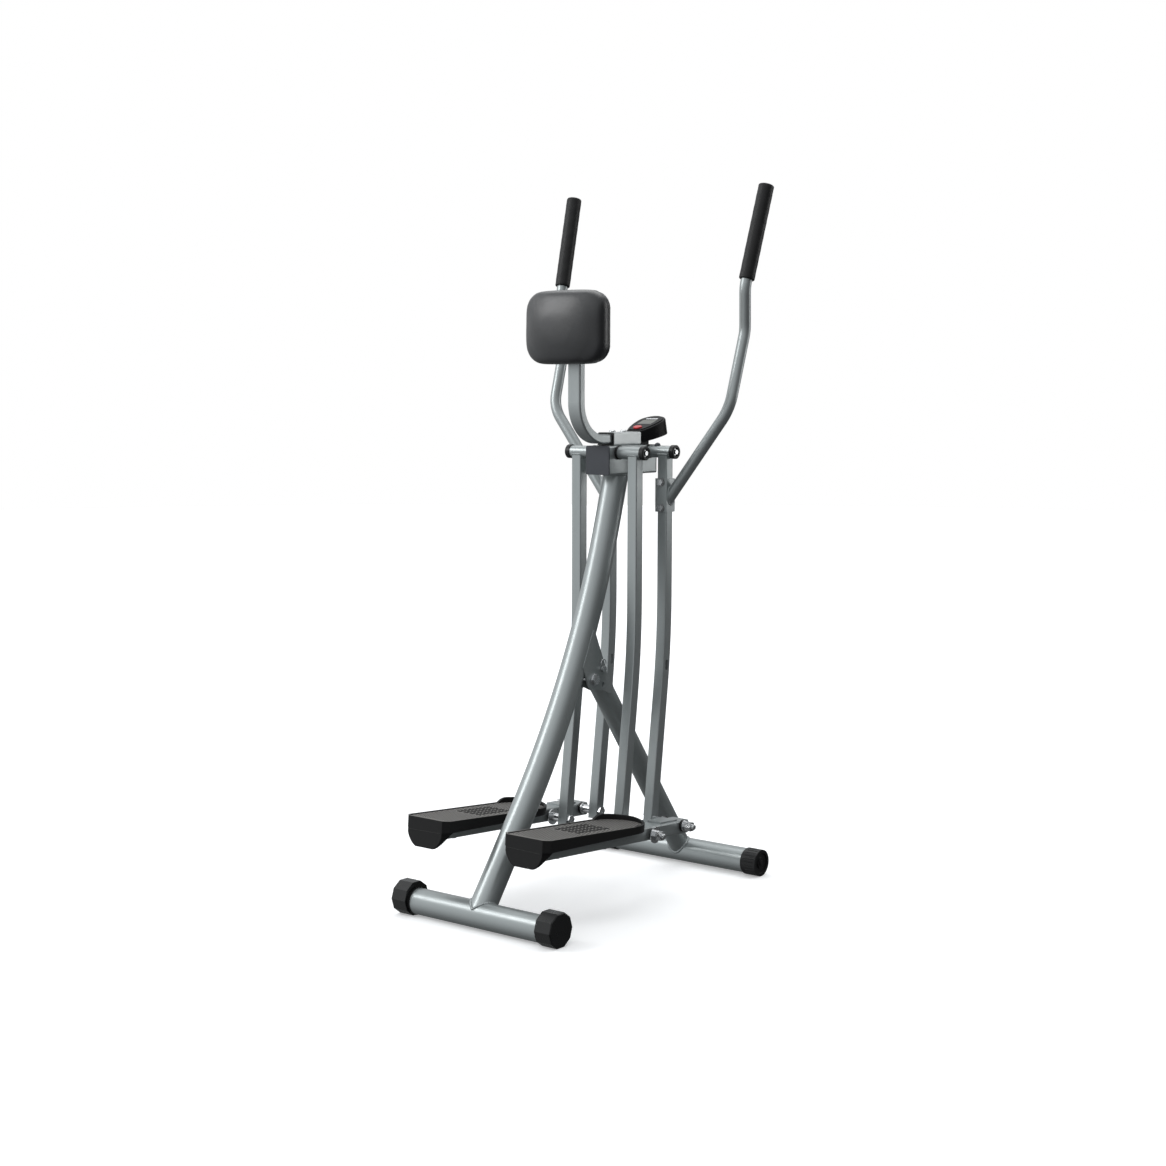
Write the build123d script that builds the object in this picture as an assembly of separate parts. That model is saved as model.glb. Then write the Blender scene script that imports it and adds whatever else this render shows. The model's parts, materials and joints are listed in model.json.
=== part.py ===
from build123d import *
import math
import os

# Folding air walker. X is the user's right, Y the way the user faces, Z is up, sizes in millimetres.

# Clearances
running_fit = 0.05
slip_fit = 0.3
end_play = 0.4

# Base tubes, levelling caps and rollers
base_spread = 734.0
base_tube_diameter = 57.0
base_tube_wall = 2.0
rear_base_length = 440.0
front_base_length = 452.0
cap_across_flats = 72.0
cap_flats = 10
cap_bore_drop = 5.5
cap_length = 41.0
cap_end_wall = 6.0
cap_collar_wall = 1.5
cap_collar_length = 5.0
cap_edge_chamfer = 2.0
roller_diameter = 62.0
roller_length = 38.0
roller_groove_count = 24
roller_groove_radius = 1.6
roller_dish_depth = 3.0
roller_rim_width = 7.0
roller_boss_diameter = 26.0
hub_stub_diameter = 18.0
hub_plug_depth = 26.0
hub_collar_length = 3.0
roller_screw_head_diameter = 13.0
roller_washer_diameter = 22.0
washer_thickness = 2.0

# Main tube, a lower run, one long bend and an upper run, leans from the vertical
main_tube_diameter = 57.0
main_tube_wall = 2.0
main_lower_run = 226.0
main_lower_lean = 36.0
main_bend_radius = 2012.0
main_upper_lean = 16.0
main_upper_run = 99.5

# Head box and the two axles that carry the swing arms
head_side = 64.0
head_wall = 2.5
head_corner = 4.0
head_rear_overhang = 64.5
head_plug_lip = 3.0
head_plug_depth = 14.0
axle_diameter = 16.0
axle_height = 49.0
axle_rear_inset = 32.0
axle_spacing = 113.0
axle_front_inset = 27.0
axle_bolt_head_diameter = 10.0
axle_bolt_head_height = 4.5
axle_washer_diameter = 17.0

# Swing arms, square tube bent gently back below the knee
arm_side = 25.0
arm_wall = 2.0
arm_corner = 2.5
arm_stand = 78.0
arm_upper_run = 320.0
arm_bend_radius = 1800.0
arm_bend_angle = 7.0
arm_lower_run = 294.0
arm_tail = 18.0
arm_slot_width = 10.0
arm_slot_height = 24.0
arm_slot_drop = 481.0
sleeve_diameter = 27.0
sleeve_bore_diameter = 21.0
sleeve_overhang = 7.0
bush_flange = 4.5
bush_flange_diameter = 31.0
bush_cap_length = 11.5
bush_cap_floor = 5.0
bush_cap_recess_diameter = 19.0
bush_reach = 18.0

# Lower pivots between the arms and the pedal bars
pivot_bolt_diameter = 12.0
pivot_head_across = 19.0
pivot_head_height = 6.0
pivot_nut_height = 9.0
pivot_tip = 7.0
pivot_tip_chamfer = 1.4
spacer_diameter = 19.0
rear_pivot_washer_diameter = 36.0
front_pivot_washer_diameter = 26.0
pivot_washer_thickness = 2.5
pedal_bush_diameter = 20.0
pedal_bush_flange = 5.5
pedal_bush_flange_diameter = 27.0
pedal_bush_reach = 14.0
open_pivot_clearance = 0.35

# Pedal bars
bar_stand = 144.0
bar_width = 46.0
bar_height = 30.0
bar_wall = 2.5
bar_corner = 4.0
bar_pitch = 3.8
bar_rise = 3.3
bar_rear_reach = 392.0
bar_nose = 23.0
bar_saddle_length = 60.0
bar_saddle_inset = 40.0
bar_saddle_thickness = 4.0

# Moulded footplates
pedal_stand = 137.0
pedal_width = 120.5
pedal_length = 373.0
pedal_pitch = 4.8
pedal_rear_reach = 402.0
pedal_rise = 63.0
pedal_deck = 5.0
pedal_wall = 4.0
pedal_corner_chamfer = 12.0
pedal_skirt_heel = 24.0
pedal_skirt_toe = 12.0
pedal_block_length = 8.0
pedal_block_sweep = 46.0
pedal_block_hollow = 7.0
pedal_block_depth = 61.0
pedal_block_shoulder = 32.0
pedal_block_foot = 50.0
pedal_block_bulge = 4.0
pedal_lip_height = 12.0
pedal_lip_low = 2.5
pedal_lip_start = 300.0
pedal_lip_ramp = 34.0
pedal_lip_width = 6.0
pedal_lip_edge = 2.5
pedal_rim_height = 2.0
pedal_rim_width = 4.0
pedal_rib_thickness = 4.0
pedal_rib_count = 4
pedal_boss_diameter = 20.0
pedal_bolt_diameter = 8.0
pedal_bolt_head = 13.0
pedal_bolt_head_height = 5.0
pedal_bolt_first = 95.0
pedal_bolt_spacing = 160.0
pedal_bolt_bite = 8.0
tread_columns = 4
tread_rows = 9
tread_column_pitch = 18.0
tread_row_pitch = 12.5
tread_width = 12.0
tread_length = 4.5
tread_height = 1.2
tread_centre = 190.0

# Handlebars, clamped on the front arms
handle_diameter = 25.4
handle_wall = 1.8
clamp_drop = 97.0
clamp_length = 75.0
clamp_wall = 3.0
clamp_bolt_spacing = 58.0
clamp_bolt_diameter = 8.0
clamp_bolt_head = 13.0
clamp_bolt_head_height = 5.0
clamp_washer_diameter = 18.0
handle_foot_drop = 118.0
handle_elbow_out = 246.5
handle_elbow_rise = 97.0
handle_elbow_forward = 4.0
handle_knee_out = 251.0
handle_knee_rise = 267.0
handle_knee_forward = 56.0
grip_foot_out = 257.0
grip_foot_rise = 363.0
grip_foot_forward = 45.0
grip_head_out = 269.0
grip_head_rise = 585.5
grip_head_forward = 108.0
handle_bend_radius = 70.0
handle_elbow_radius = 90.0
grip_diameter = 35.0
grip_length = 216.0
grip_end_wall = 6.0
grip_edge = 3.0

# Fold hinge and folding front leg
hinge_station = 346.0
hinge_offset = 46.0
hinge_bolt_diameter = 10.0
hinge_head_across = 21.0
hinge_head_height = 5.0
hinge_washer_diameter = 27.0
leg_tube_diameter = 50.0
leg_tube_wall = 2.0
leg_axis_offset = 34.0
leg_tube_overrun = 6.0
lug_thickness = 4.0
lug_overlap = 3.5
lug_eye_radius = 12.5
lug_root = 58.0
cheek_thickness = 4.0
cheek_eye_radius = 24.0
cheek_lock_radius = 13.0
cheek_top_station = 440.0
cheek_back_station = 357.0
lock_pin_diameter = 10.0
lock_knob_diameter = 14.0
lock_knob_length = 7.0
lock_ring_diameter = 17.0
lock_ring_wire = 2.4
fold_angle = 62.0

# Belly pad, its post and the post's socket
post_width = 34.0
post_depth = 20.0
post_wall = 2.0
post_corner = 4.0
post_bend_radius = 80.0
post_stand_back = 78.0
post_height = 268.0
post_insert = 88.0
socket_length = 99.0
socket_wall = 3.0
socket_mouth = 30.0
liner_wall = 1.2
liner_flange = 3.5
liner_depth = 40.0
post_bolt_diameter = 8.0
post_bolt_head = 15.0
post_bolt_head_height = 5.0
post_bolt_edge = 3.5
post_bolt_bite = 6.0
post_bolt_inset = 21.0
post_bolt_spacing = 42.0
pad_width = 222.0
pad_height = 166.0
pad_thickness = 40.0
pad_corner = 46.0
pad_centre_drop = 26.0
pad_widest = 12.0
pad_draw_in = 3.0
pad_lean_in = 2.0
pad_crown = 12.0
pad_roll = 11.0
pad_board_thickness = 9.0
pad_board_inset = 9.0
pad_plate_width = 92.0
pad_plate_height = 74.0
pad_plate_thickness = 4.0
pad_screw_diameter = 6.0
pad_screw_head = 12.0
pad_screw_head_height = 3.0
pad_screw_inset = 13.0

# Console at the front end of the socket
console_length = 101.0
console_width = 74.0
console_nose_width = 40.0
console_nose_corner = 5.0
console_near_height = 28.0
console_base_height = 10.0
console_wall = 2.2
console_tilt = 13.3
console_face_tilt = 19.0
console_lift = 5.0
console_foot_width = 30.0
console_foot_length = 30.0
console_foot_inset = 2.0
console_edge = 3.0
console_panel_inset = 6.0
console_panel_rise = 1.8
lens_length = 26.0
lens_width = 38.0
lens_depth = 1.6
lens_station = 55.0
lens_ledge = 2.0
button_length = 16.0
button_width = 22.0
button_station = 17.5
button_proud = 3.0
button_flange = 2.0
button_lip = 2.0
button_edge = 1.5
button_travel = 1.2
board_length = 58.0
board_width = 32.0
board_thickness = 1.6
board_station = 43.0
board_height = 9.0
board_post_diameter = 5.0
board_post_inset = 4.0
switch_diameter = 6.0
cell_diameter = 10.5
cell_length = 40.0
cell_station = 83.0
cell_rib_spacing = 24.0
cell_rib_thickness = 3.0
cell_rib_width = 16.0
cell_rib_height = 5.0

# Places worked out from the sizes above
cap_reach = cap_across_flats / 2 / math.cos(math.pi / cap_flats)
rear_y = (cap_reach - roller_diameter / 2 - base_spread) / 2
front_y = rear_y + base_spread
rear_z = cap_across_flats / 2 - cap_bore_drop
front_z = roller_diameter / 2


def lean_direction(angle):
    """Unit step (y, z) up a line that leans forward by an angle from the vertical."""
    return math.sin(math.radians(angle)), math.cos(math.radians(angle))


def step(point, direction, distance):
    """Point (y, z) a distance along a direction."""
    return point[0] + direction[0] * distance, point[1] + direction[1] * distance


main_start = (rear_y, rear_z)
main_bend_start = step(main_start, lean_direction(main_lower_lean), main_lower_run)
main_centre = (
    main_bend_start[0] - main_bend_radius * math.cos(math.radians(main_lower_lean)),
    main_bend_start[1] + main_bend_radius * math.sin(math.radians(main_lower_lean)),
)


def beside_bend(station, offset):
    """Point (y, z) in front of the main tube's bend, at a length along the bend."""
    angle = math.radians(main_lower_lean) - station / main_bend_radius
    reach = main_bend_radius + offset
    return main_centre[0] + reach * math.cos(angle), main_centre[1] - reach * math.sin(angle)


main_bend_length = main_bend_radius * math.radians(main_lower_lean - main_upper_lean)
main_bend_end = beside_bend(main_bend_length, 0)
main_top = step(main_bend_end, lean_direction(main_upper_lean), main_upper_run)
main_over = step(main_top, lean_direction(main_upper_lean), main_tube_diameter / 2)

head_z0 = main_top[1]
head_z1 = head_z0 + head_side
head_y0 = main_top[0] - head_rear_overhang
head_length = axle_rear_inset + axle_spacing + axle_front_inset
head_y1 = head_y0 + head_length
axle_z = head_z0 + axle_height
rear_axle_y = head_y0 + axle_rear_inset
front_axle_y = rear_axle_y + axle_spacing

sleeve_x0 = head_side / 2 + end_play + bush_flange
sleeve_x1 = arm_stand + arm_side / 2 + sleeve_overhang
axle_end_x = sleeve_x1 + bush_cap_floor + end_play

arm_knee_drop = arm_upper_run + arm_bend_radius * math.sin(math.radians(arm_bend_angle))
arm_knee_back = arm_bend_radius * (1 - math.cos(math.radians(arm_bend_angle)))
pivot_drop = arm_knee_drop + arm_lower_run * math.cos(math.radians(arm_bend_angle))
pivot_back = arm_knee_back + arm_lower_run * math.sin(math.radians(arm_bend_angle))
pivot_z = axle_z - pivot_drop
rear_pivot_y = rear_axle_y - pivot_back
front_pivot_y = front_axle_y - pivot_back

hinge_y, hinge_z = beside_bend(hinge_station, hinge_offset)
leg_span = math.hypot(hinge_y - front_y, hinge_z - front_z)
leg_length = math.sqrt(leg_span ** 2 - leg_axis_offset ** 2)
leg_angle = math.atan2(hinge_z - front_z, hinge_y - front_y) - math.asin(leg_axis_offset / leg_span)
leg_up = (math.cos(leg_angle), math.sin(leg_angle))
lock_point = step((front_y, front_z), leg_up, leg_length)

bar_front_reach = axle_spacing + bar_nose

socket_y0 = head_y0 + socket_mouth
socket_y1 = socket_y0 + socket_length
liner_gap = liner_wall + slip_fit
socket_height = post_depth + 2 * (socket_wall + liner_gap)
socket_width = post_width + 2 * (socket_wall + liner_gap)
post_z = head_z1 + socket_height / 2
post_y = head_y0 - post_stand_back
pad_centre_z = post_z + post_height - pad_centre_drop
pad_plate_y = post_y - post_depth / 2 - pad_plate_thickness
pad_board_y = pad_plate_y - pad_board_thickness


def side(x):
    """Plane square to X, drawn in (y, z)."""
    return Plane.YZ.offset(x)


def rod(diameter, x0, x1, y, z):
    """Round bar along X."""
    return extrude(side(x0) * Pos(y, z) * Circle(diameter / 2), x1 - x0)


def ring(outer, inner, x0, x1, y, z):
    """Round sleeve or washer along X, from its two diameters."""
    return extrude(side(x0) * Pos(y, z) * (Circle(outer / 2) - Circle(inner / 2)), x1 - x0)


def hexagon(across, x0, x1, y, z):
    """Hexagon head or nut along X."""
    return extrude(side(x0) * Pos(y, z) * RegularPolygon(across / 2, 6, major_radius=False), x1 - x0)


def block(x0, x1, y0, y1, z0, z1):
    """Square-cornered block from its two corners."""
    middle = Pos((x0 + x1) / 2, (y0 + y1) / 2, (z0 + z1) / 2)
    return middle * Box(x1 - x0, y1 - y0, z1 - z0)


def mirrored(shape):
    """The same piece on the user's left."""
    return mirror(shape, about=Plane.YZ)


def group(*shapes):
    """Separate solids that share one node."""
    return Compound([solid for shape in shapes for solid in shape.solids()])


def main_path():
    """Centre line of the main tube, from the rear base axis to just inside the head box."""
    sweep_angle = main_lower_lean - main_upper_lean
    bend = CenterArc(main_centre, main_bend_radius, -main_lower_lean, sweep_angle)
    return Plane.YZ * (Line(main_start, main_bend_start) + bend + Line(main_bend_end, main_over))


def swept_tube(path, outer, inner):
    """Round tube along a path."""
    start = Plane(origin=path @ 0, z_dir=path % 0)
    return sweep(start * Circle(outer / 2), path=path) - sweep(start * Circle(inner / 2), path=path)


def frame_tubes():
    """Rear base, main tube and head box, welded to each other in the shop."""
    tube_half = rear_base_length / 2 - cap_end_wall - end_play
    bore = base_tube_diameter - 2 * base_tube_wall
    base = ring(base_tube_diameter, bore, -tube_half, tube_half, rear_y, rear_z)
    main = swept_tube(main_path(), main_tube_diameter, main_tube_diameter - 2 * main_tube_wall)
    cope = base_tube_diameter + 2 * running_fit
    main -= rod(cope, -base_tube_diameter, base_tube_diameter, rear_y, rear_z)
    main -= Pos(0, main_top[0], head_z0 + head_side) * Box(2 * head_side, 2 * head_length, 2 * head_side)

    profile = RectangleRounded(head_side, head_side, head_corner)
    hollow = Rectangle(head_side - 2 * head_wall, head_side - 2 * head_wall)
    end = Plane(origin=(0, head_y0, head_z0 + head_side / 2), x_dir=(1, 0, 0), z_dir=(0, 1, 0))
    box = extrude(end * (profile - hollow), head_length)
    for y in (rear_axle_y, front_axle_y):
        box -= rod(axle_diameter + 2 * running_fit, -head_side, head_side, y, axle_z)

    lip = extrude(end * profile, -head_plug_lip)
    tongue = Rectangle(head_side - 2 * head_wall - 2 * slip_fit, head_side - 2 * head_wall - 2 * slip_fit)
    rear_plug = lip + extrude(end * tongue, head_plug_depth)
    front_plug = Pos(0, head_y0 + head_y1, 0) * mirror(rear_plug, about=Plane.XZ)
    return {
        "rear_base_tube": base,
        "main_tube": main,
        "head_box": box,
        "head_end_plugs": group(rear_plug, front_plug),
    }


def levelling_cap():
    """Right rear cap: a ten-sided sleeve, bored off its middle, that levels the base when turned."""
    x1 = rear_base_length / 2
    x0 = x1 - cap_length
    middle_z = rear_z + cap_bore_drop
    outline = RegularPolygon(cap_across_flats / 2, cap_flats, major_radius=False)
    cap = extrude(side(x0) * Pos(rear_y, middle_z) * outline, cap_length)
    cap = chamfer(cap.faces().sort_by(Axis.X)[-1].edges(), cap_edge_chamfer)
    bore = base_tube_diameter + 2 * running_fit
    cap += rod(bore + 2 * cap_collar_wall, x0 - cap_collar_length, x0, rear_y, rear_z)
    return cap - rod(bore, x0 - 2 * cap_collar_length, x1 - cap_end_wall, rear_y, rear_z)


def roller_set():
    """Right roller, the hub that is pushed into the front base tube, and its screw and washer."""
    x1 = front_base_length / 2
    x0 = x1 - roller_length
    boss_x = x1 - roller_dish_depth
    drum = rod(roller_diameter, x0, x1, front_y, front_z)
    dish = roller_diameter - 2 * roller_rim_width
    drum -= ring(dish, roller_boss_diameter, boss_x, x1 + 1, front_y, front_z)
    drum -= rod(roller_washer_diameter + 2 * slip_fit, boss_x, x1 + 1, front_y, front_z)
    drum -= rod(hub_stub_diameter + 2 * running_fit, x0 - 1, x1 + 1, front_y, front_z)
    for index in range(roller_groove_count):
        turn = math.tau * (index + 0.5) / roller_groove_count
        y = front_y + (roller_diameter / 2 + roller_groove_radius / 3) * math.cos(turn)
        z = front_z + (roller_diameter / 2 + roller_groove_radius / 3) * math.sin(turn)
        drum -= rod(2 * roller_groove_radius, x0 + roller_rim_width, x1 - roller_rim_width / 2, y, z)

    tube_end = x0 - end_play - hub_collar_length
    plug_diameter = base_tube_diameter - 2 * base_tube_wall - 2 * slip_fit
    hub = rod(plug_diameter, tube_end - hub_plug_depth, tube_end, front_y, front_z)
    hub += rod(base_tube_diameter, tube_end, x0 - end_play, front_y, front_z)
    stub_end = boss_x + end_play
    hub += rod(hub_stub_diameter, x0 - end_play, stub_end, front_y, front_z)
    washer = rod(roller_washer_diameter, stub_end, stub_end + washer_thickness, front_y, front_z)
    seat = stub_end + washer_thickness
    head = rod(roller_screw_head_diameter, seat, seat + washer_thickness, front_y, front_z)
    return drum, hub, washer + head, tube_end


def front_leg():
    """Folding front leg with its two hinge lugs, and the front base tube."""
    tube_end = roller_set()[3]
    bore = base_tube_diameter - 2 * base_tube_wall
    base = ring(base_tube_diameter, bore, -tube_end, tube_end, front_y, front_z)

    foot = Plane(origin=(0, front_y, front_z), x_dir=(1, 0, 0), z_dir=(0, leg_up[0], leg_up[1]))
    tube_top = leg_length + leg_tube_overrun
    outer = extrude(foot * Circle(leg_tube_diameter / 2), tube_top)
    inner = extrude(foot * Circle(leg_tube_diameter / 2 - leg_tube_wall), tube_top)
    leg = outer - inner

    root = step(lock_point, leg_up, -lug_root)
    eyes = [(hinge_y, hinge_z), lock_point, root]
    outline = make_hull([edge for y, z in eyes for edge in (Pos(y, z) * Circle(lug_eye_radius)).edges()])
    outline -= Pos(hinge_y, hinge_z) * Circle(hinge_bolt_diameter / 2 + running_fit)
    outline -= Pos(*lock_point) * Circle(lock_pin_diameter / 2 + slip_fit)
    lug_x = leg_tube_diameter / 2 - lug_overlap
    lug = extrude(side(lug_x) * outline, lug_thickness) - inner
    leg += lug + mirrored(lug)
    leg -= rod(lock_pin_diameter + 2 * slip_fit, 0, leg_tube_diameter, *lock_point)
    cope = base_tube_diameter + 2 * running_fit
    leg -= rod(cope, -base_tube_diameter, base_tube_diameter, front_y, front_z)
    return {"front_leg_tube": leg, "front_base_tube": base}


def fold_hinge():
    """Cheek plates on the main tube, the hinge bolt, and the pin that locks the leg open."""
    lug_outer = leg_tube_diameter / 2 - lug_overlap + lug_thickness
    x0 = lug_outer + end_play
    x1 = x0 + cheek_thickness
    fold = -math.radians(fold_angle)
    arm = (lock_point[0] - hinge_y, lock_point[1] - hinge_z)
    folded = (
        hinge_y + arm[0] * math.cos(fold) - arm[1] * math.sin(fold),
        hinge_z + arm[0] * math.sin(fold) + arm[1] * math.cos(fold),
    )
    eyes = [(hinge_y, hinge_z, cheek_eye_radius)]
    eyes += [(*lock_point, cheek_lock_radius), (*folded, cheek_lock_radius)]
    eyes += [(*beside_bend(cheek_top_station, 0), cheek_thickness)]
    eyes += [(*beside_bend(cheek_back_station, 0), cheek_thickness)]
    outline = make_hull([edge for y, z, radius in eyes for edge in (Pos(y, z) * Circle(radius)).edges()])
    pin_hole = Circle(lock_pin_diameter / 2 + running_fit)
    outline -= Pos(hinge_y, hinge_z) * Circle(hinge_bolt_diameter / 2 + running_fit)
    outline -= Pos(*lock_point) * pin_hole
    outline -= Pos(*folded) * pin_hole
    path = main_path()
    start = Plane(origin=path @ 0, z_dir=path % 0)
    cheek = extrude(side(x0) * outline, cheek_thickness)
    cheek -= sweep(start * Circle(main_tube_diameter / 2), path=path)
    cheek = cheek.solids().sort_by(SortBy.VOLUME)[-1]

    seat = x1 + washer_thickness
    bolt = rod(hinge_bolt_diameter, -seat - hinge_head_height, x1, hinge_y, hinge_z)
    head = rod(hinge_washer_diameter, x1, seat, hinge_y, hinge_z)
    head += hexagon(hinge_head_across, seat, seat + hinge_head_height, hinge_y, hinge_z)
    bore = hinge_bolt_diameter + 2 * running_fit
    nut = mirrored(head) - rod(bore, -seat - hinge_head_height, -x1, hinge_y, hinge_z)
    bolt += head

    knob_x = x1 + end_play
    pin = rod(lock_pin_diameter, x0, knob_x + lock_knob_length, *lock_point)
    pin += rod(lock_knob_diameter, knob_x, knob_x + lock_knob_length, *lock_point)
    ring_z = lock_point[1] + lock_knob_diameter / 2 + lock_ring_diameter / 2 - lock_ring_wire
    pull = Pos(knob_x + lock_knob_length / 2, lock_point[0], ring_z) * Rot(0, 90, 0)
    pin += pull * Torus(lock_ring_diameter / 2, lock_ring_wire / 2)
    return {
        "hinge_cheeks": group(cheek, mirrored(cheek)),
        "hinge_bolt": group(bolt, nut),
        "lock_pin": pin,
    }


def axles():
    """Two bars through the head box, and the bolt and washer on each end."""
    bars = [rod(axle_diameter, -axle_end_x, axle_end_x, y, axle_z) for y in (rear_axle_y, front_axle_y)]
    bolts = []
    for y in (rear_axle_y, front_axle_y):
        washer_x = axle_end_x + washer_thickness
        bolt = rod(axle_washer_diameter, axle_end_x, washer_x, y, axle_z)
        bolt += hexagon(axle_bolt_head_diameter, washer_x, washer_x + axle_bolt_head_height, y, axle_z)
        bolts += [bolt, mirrored(bolt)]
    return {"pivot_axles": group(*bars), "axle_end_bolts": group(*bolts)}


def arm_path(axle_y, tail):
    """Centre line of a swing arm, from its axle down past its lower pivot."""
    knee_top = (axle_y, axle_z - arm_upper_run)
    knee_end = (axle_y - arm_knee_back, axle_z - arm_knee_drop)
    bend = CenterArc((axle_y - arm_bend_radius, knee_top[1]), arm_bend_radius, 0, -arm_bend_angle)
    down = lean_direction(arm_bend_angle)
    foot = step(knee_end, down, -(arm_lower_run + tail))
    return side(arm_stand) * (Line((axle_y, axle_z), knee_top) + bend + Line(knee_end, foot))


def swing_arm(axle_y, holds_handle):
    """Right swing arm: bent square tube under a round sleeve; the front one is drilled and slotted."""
    path = arm_path(axle_y, arm_tail)
    start = Plane(origin=path @ 0, x_dir=(1, 0, 0), z_dir=path % 0)
    bore = arm_side - 2 * arm_wall
    arm = sweep(start * RectangleRounded(arm_side, arm_side, arm_corner), path=path)
    arm -= sweep(start * Rectangle(bore, bore), path=path)
    arm -= rod(sleeve_diameter, sleeve_x0, sleeve_x1, axle_y, axle_z)
    arm = arm.solids().sort_by(SortBy.VOLUME)[-1]
    arm += ring(sleeve_diameter, sleeve_bore_diameter, sleeve_x0, sleeve_x1, axle_y, axle_z)
    through = (arm_stand - arm_side, arm_stand + arm_side)
    arm -= rod(pivot_bolt_diameter + 2 * running_fit, *through, axle_y - pivot_back, pivot_z)
    if holds_handle:
        bend_drop = arm_slot_drop - arm_upper_run
        slot_y = axle_y - arm_bend_radius + math.sqrt(arm_bend_radius ** 2 - bend_drop ** 2)
        slot = side(through[0]) * Pos(slot_y, axle_z - arm_slot_drop) * Rot(0, 0, 90)
        arm -= extrude(slot * SlotOverall(arm_slot_height, arm_slot_width), 2 * arm_side)
        for place in clamp_planes():
            arm -= extrude(place * Circle(clamp_bolt_diameter / 2 + slip_fit), 2 * arm_side)
    return arm


def arm_bushes(axle_y):
    """Right arm's two plastic bushes: a thin inner flange, and an outer cap dished for the axle bolt."""
    outer = sleeve_bore_diameter - 2 * slip_fit
    bore = axle_diameter + 2 * running_fit
    inner_bush = ring(bush_flange_diameter, bore, sleeve_x0 - bush_flange, sleeve_x0, axle_y, axle_z)
    inner_bush += ring(outer, bore, sleeve_x0, sleeve_x0 + bush_reach, axle_y, axle_z)
    cap_x = sleeve_x1 + bush_cap_length
    cap = rod(bush_flange_diameter, sleeve_x1, cap_x, axle_y, axle_z)
    cap = chamfer(cap.faces().sort_by(Axis.X)[-1].edges(), bush_flange / 3)
    cap += rod(outer, sleeve_x1 - bush_reach, sleeve_x1, axle_y, axle_z)
    cap -= rod(bore, sleeve_x1 - bush_reach, sleeve_x1 + bush_cap_floor, axle_y, axle_z)
    cap -= rod(bush_cap_recess_diameter, sleeve_x1 + bush_cap_floor, cap_x, axle_y, axle_z)
    return group(inner_bush, cap)


def pivot_hardware(pivot_y, washer_diameter):
    """Right lower pivot: long bolt through the arm, spacer, washers and two nuts outside the bar."""
    arm_inner = arm_stand - arm_side / 2
    arm_outer = arm_stand + arm_side / 2
    bar_inner = bar_stand - bar_width / 2 - pedal_bush_flange - end_play
    bar_outer = bar_stand + bar_width / 2 + pedal_bush_flange + end_play
    outer_x = bar_outer + pivot_washer_thickness
    nut_x = outer_x + pivot_nut_height
    bolt_end = nut_x + pivot_nut_height + pivot_tip
    bore = pivot_bolt_diameter + 2 * running_fit
    bolt = hexagon(pivot_head_across, arm_inner - pivot_head_height, arm_inner, pivot_y, pivot_z)
    bolt += rod(pivot_bolt_diameter, arm_inner, bolt_end, pivot_y, pivot_z)
    bolt = chamfer(bolt.faces().sort_by(Axis.X)[-1].edges(), pivot_tip_chamfer)
    spacer_end = bar_inner - pivot_washer_thickness
    spacer = ring(spacer_diameter, bore, arm_outer, spacer_end, pivot_y, pivot_z)
    inner_washer = ring(washer_diameter, bore, spacer_end, bar_inner, pivot_y, pivot_z)
    outer_washer = ring(washer_diameter, bore, bar_outer, outer_x, pivot_y, pivot_z)
    nut = hexagon(pivot_head_across, outer_x, nut_x, pivot_y, pivot_z)
    lock_nut = hexagon(pivot_head_across, nut_x, nut_x + pivot_nut_height, pivot_y, pivot_z)
    thread = rod(bore, outer_x, nut_x + pivot_nut_height, pivot_y, pivot_z)
    return group(bolt, spacer, inner_washer, outer_washer, nut - thread, lock_nut - thread)


def pedal_bushes():
    """Right bar's four plastic bushes, the front pair bored wider for the linkage's open pivot."""
    bushes = []
    for pivot_y, clearance in ((rear_pivot_y, running_fit), (front_pivot_y, open_pivot_clearance)):
        bore = pivot_bolt_diameter + 2 * clearance
        for face, outward in ((bar_stand + bar_width / 2, 1), (bar_stand - bar_width / 2, -1)):
            flange = sorted((face, face + outward * pedal_bush_flange))
            neck = sorted((face, face - outward * pedal_bush_reach))
            bush = ring(pedal_bush_flange_diameter, bore, *flange, pivot_y, pivot_z)
            bushes.append(bush + ring(pedal_bush_diameter, bore, *neck, pivot_y, pivot_z))
    return group(*bushes)


def bar_section(station):
    """Plane square to the right pedal bar, at a length along it from the rear pivot."""
    pitch = math.radians(bar_pitch)
    along = (0, math.cos(pitch), -math.sin(pitch))
    origin = (bar_stand, rear_pivot_y, pivot_z + bar_rise)
    return Plane(origin=origin, x_dir=(1, 0, 0), z_dir=along).offset(station)


def bar_underside(station):
    """Plane on the right pedal bar's lower face, looking up, at a length along the bar."""
    middle = bar_section(station)
    low = middle.origin + middle.y_dir * (bar_height / 2)
    return Plane(origin=low, x_dir=(1, 0, 0), z_dir=-middle.y_dir)


def bar_envelope(clearance):
    """Outside of the right pedal bar, grown by a clearance at its sides, underside and ends."""
    section = RectangleRounded(bar_width + 2 * clearance, bar_height + clearance, bar_corner)
    rear = bar_section(-bar_rear_reach - clearance) * Pos(0, clearance / 2)
    return extrude(rear * section, bar_rear_reach + bar_front_reach + 2 * clearance)


def pedal_plane():
    """Plane of the right footplate's deck, from the middle of its rear edge, v forward and w up."""
    pitch = math.radians(pedal_pitch)
    corner = (pedal_stand, rear_pivot_y - pedal_rear_reach, pivot_z + pedal_rise)
    return Plane(origin=corner, x_dir=(1, 0, 0), z_dir=(0, math.sin(pitch), math.cos(pitch)))


def pedal_bolt_planes():
    """Planes under the right pedal bar at its two footplate bolts, looking up."""
    stations = (pedal_bolt_first, pedal_bolt_first + pedal_bolt_spacing)
    return [bar_underside(station - pedal_rear_reach) for station in stations]


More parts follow.
